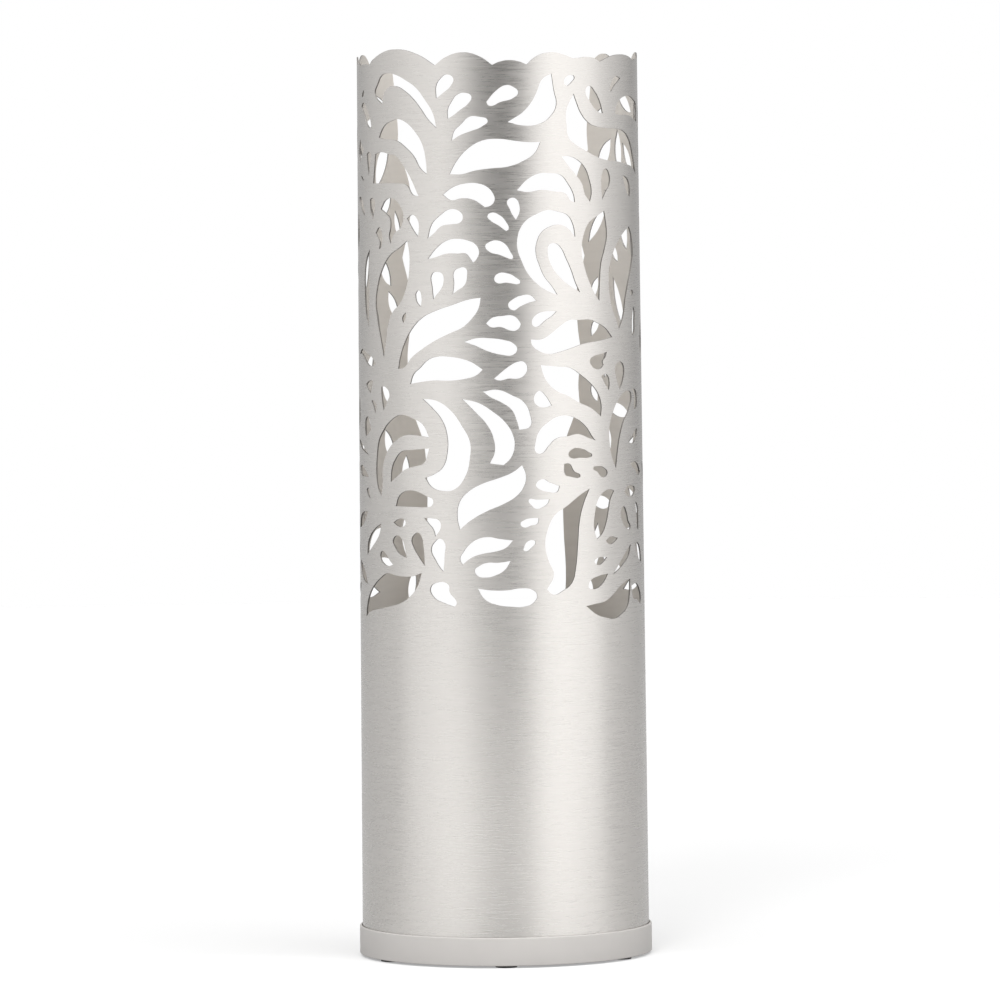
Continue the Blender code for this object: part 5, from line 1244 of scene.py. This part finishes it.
def pale_floor(radius):
    """A wide pale disc under the stand, paler in front of it. The darker base colour behind the stand is
    painted shade, for the dimmer surroundings behind as the sleeve reflects them.
    """
    bm = bmesh.new()
    bmesh.ops.create_circle(bm, cap_ends=True, radius=radius, segments=128)
    floor = bpy.data.objects.new("floor", bpy.data.meshes.new("floor"))
    bm.to_mesh(floor.data)
    bm.free()
    finish = Finish("pale_floor")
    grain = finish.noise(60, 3.0)
    depth = finish.add("ShaderNodeSeparateXYZ", {}, {"Vector": finish.place()}, output="Y")
    seen = finish.add("ShaderNodeLightPath", output="Is Camera Ray")
    # Painted shade: the base colour goes darker from the front to behind the stand, with a little grain.
    share = depth * (-1 / FLOOR_FADE) + grain * 0.06
    floor.data.materials.append(finish.finished({
        "Base Color": finish.tint(FLOOR_PAINTED_SHADE_BEHIND, FLOOR_IN_FRONT, share),
        "Roughness": 0.7,
        "Specular IOR Level": 0.2,
        "Emission Color": finish.tint((0, 0, 0), (1, 1, 1), seen),
        "Emission Strength": FLOOR_GLOW,
    }))
    bpy.context.scene.collection.objects.link(floor)


def soft_sun(strength):
    """A soft light from the front, high over the left shoulder, that lays the shadow."""
    data = bpy.data.lights.new("key", "SUN")
    data.energy = strength
    data.angle = math.radians(SUN_ANGLE)
    light = bpy.data.objects.new("key", data)
    light.rotation_euler = Vector(SUN_DIRECTION).to_track_quat("-Z", "Y").to_euler()
    light.visible_glossy = False
    bpy.context.scene.collection.objects.link(light)


def front_fill(power):
    """A soft light over the floor in front, out of the sheet's own reflections."""
    data = bpy.data.lights.new("front_fill", "AREA")
    data.shape = "RECTANGLE"
    data.size, data.size_y = FILL_SIZE
    data.energy = power
    light = bpy.data.objects.new("front_fill", data)
    light.location = FILL_PLACE
    light.visible_glossy = light.visible_camera = False
    bpy.context.scene.collection.objects.link(light)


class UMBRELLA_OT_stage(bpy.types.Operator):
    """Sets the floor, the lights and the camera"""

    bl_idname = "umbrella.stage"
    bl_label = "Stage"

    def execute(self, context):
        stage = context.scene.stand_stage
        studio_world()
        pale_floor(stage.floor_radius)
        soft_sun(stage.key_strength)
        front_fill(stage.fill_power)
        data = bpy.data.cameras.new("camera")
        data.sensor_width = 36
        data.lens = stage.lens
        data.clip_end = 100
        camera = bpy.data.objects.new("camera", data)
        aim = Vector((stage.aim_side, 0, stage.aim_height))
        place = Vector((stage.aim_side, -stage.eye_distance, stage.eye_height))
        look = (aim - place).to_track_quat("-Z", "Y").to_matrix().to_4x4()
        camera.matrix_world = Matrix.Translation(place) @ look @ Matrix.Rotation(stage.roll, 4, "Z")
        context.scene.collection.objects.link(camera)
        context.scene.camera = camera
        context.scene.view_settings.view_transform = "Standard"
        return {"FINISHED"}


# ---- the panel and the script --------------------------------------------------------------------

STEPS = (
    UMBRELLA_OT_stage,
    UMBRELLA_OT_sleeve,
    UMBRELLA_OT_base_ring,
    UMBRELLA_OT_bottom_pan,
    UMBRELLA_OT_ballast,
    UMBRELLA_OT_ring_screws,
    UMBRELLA_OT_rubber_pads,
    UMBRELLA_OT_drip_tray,
)


class UMBRELLA_PT_stand(bpy.types.Panel):
    """Lists the stand's pieces, sizes and colours"""

    bl_label = "Umbrella Stand"
    bl_space_type = "VIEW_3D"
    bl_region_type = "UI"
    bl_category = "Umbrella Stand"

    def draw(self, context):
        for group in ("stand_sizes", "stand_finishes", "stand_stage"):
            values = getattr(context.scene, group)
            column = self.layout.column()
            for name in values.__annotations__:
                column.prop(values, name)
        for step in STEPS:
            self.layout.operator(step.bl_idname)


GROUPS = {"stand_sizes": StandSizes, "stand_finishes": StandFinishes, "stand_stage": StandStage}


def register():
    for group in (*GROUPS.values(), *STEPS, UMBRELLA_PT_stand):
        bpy.utils.register_class(group)
    for name, group in GROUPS.items():
        setattr(bpy.types.Scene, name, PointerProperty(type=group))


def unregister():
    for name in GROUPS:
        delattr(bpy.types.Scene, name)
    for group in reversed((*GROUPS.values(), *STEPS, UMBRELLA_PT_stand)):
        bpy.utils.unregister_class(group)


def main():
    register()
    for step in STEPS:
        area, name = step.bl_idname.split(".")
        getattr(getattr(bpy.ops, area), name)()


if __name__ == "__main__":
    main()
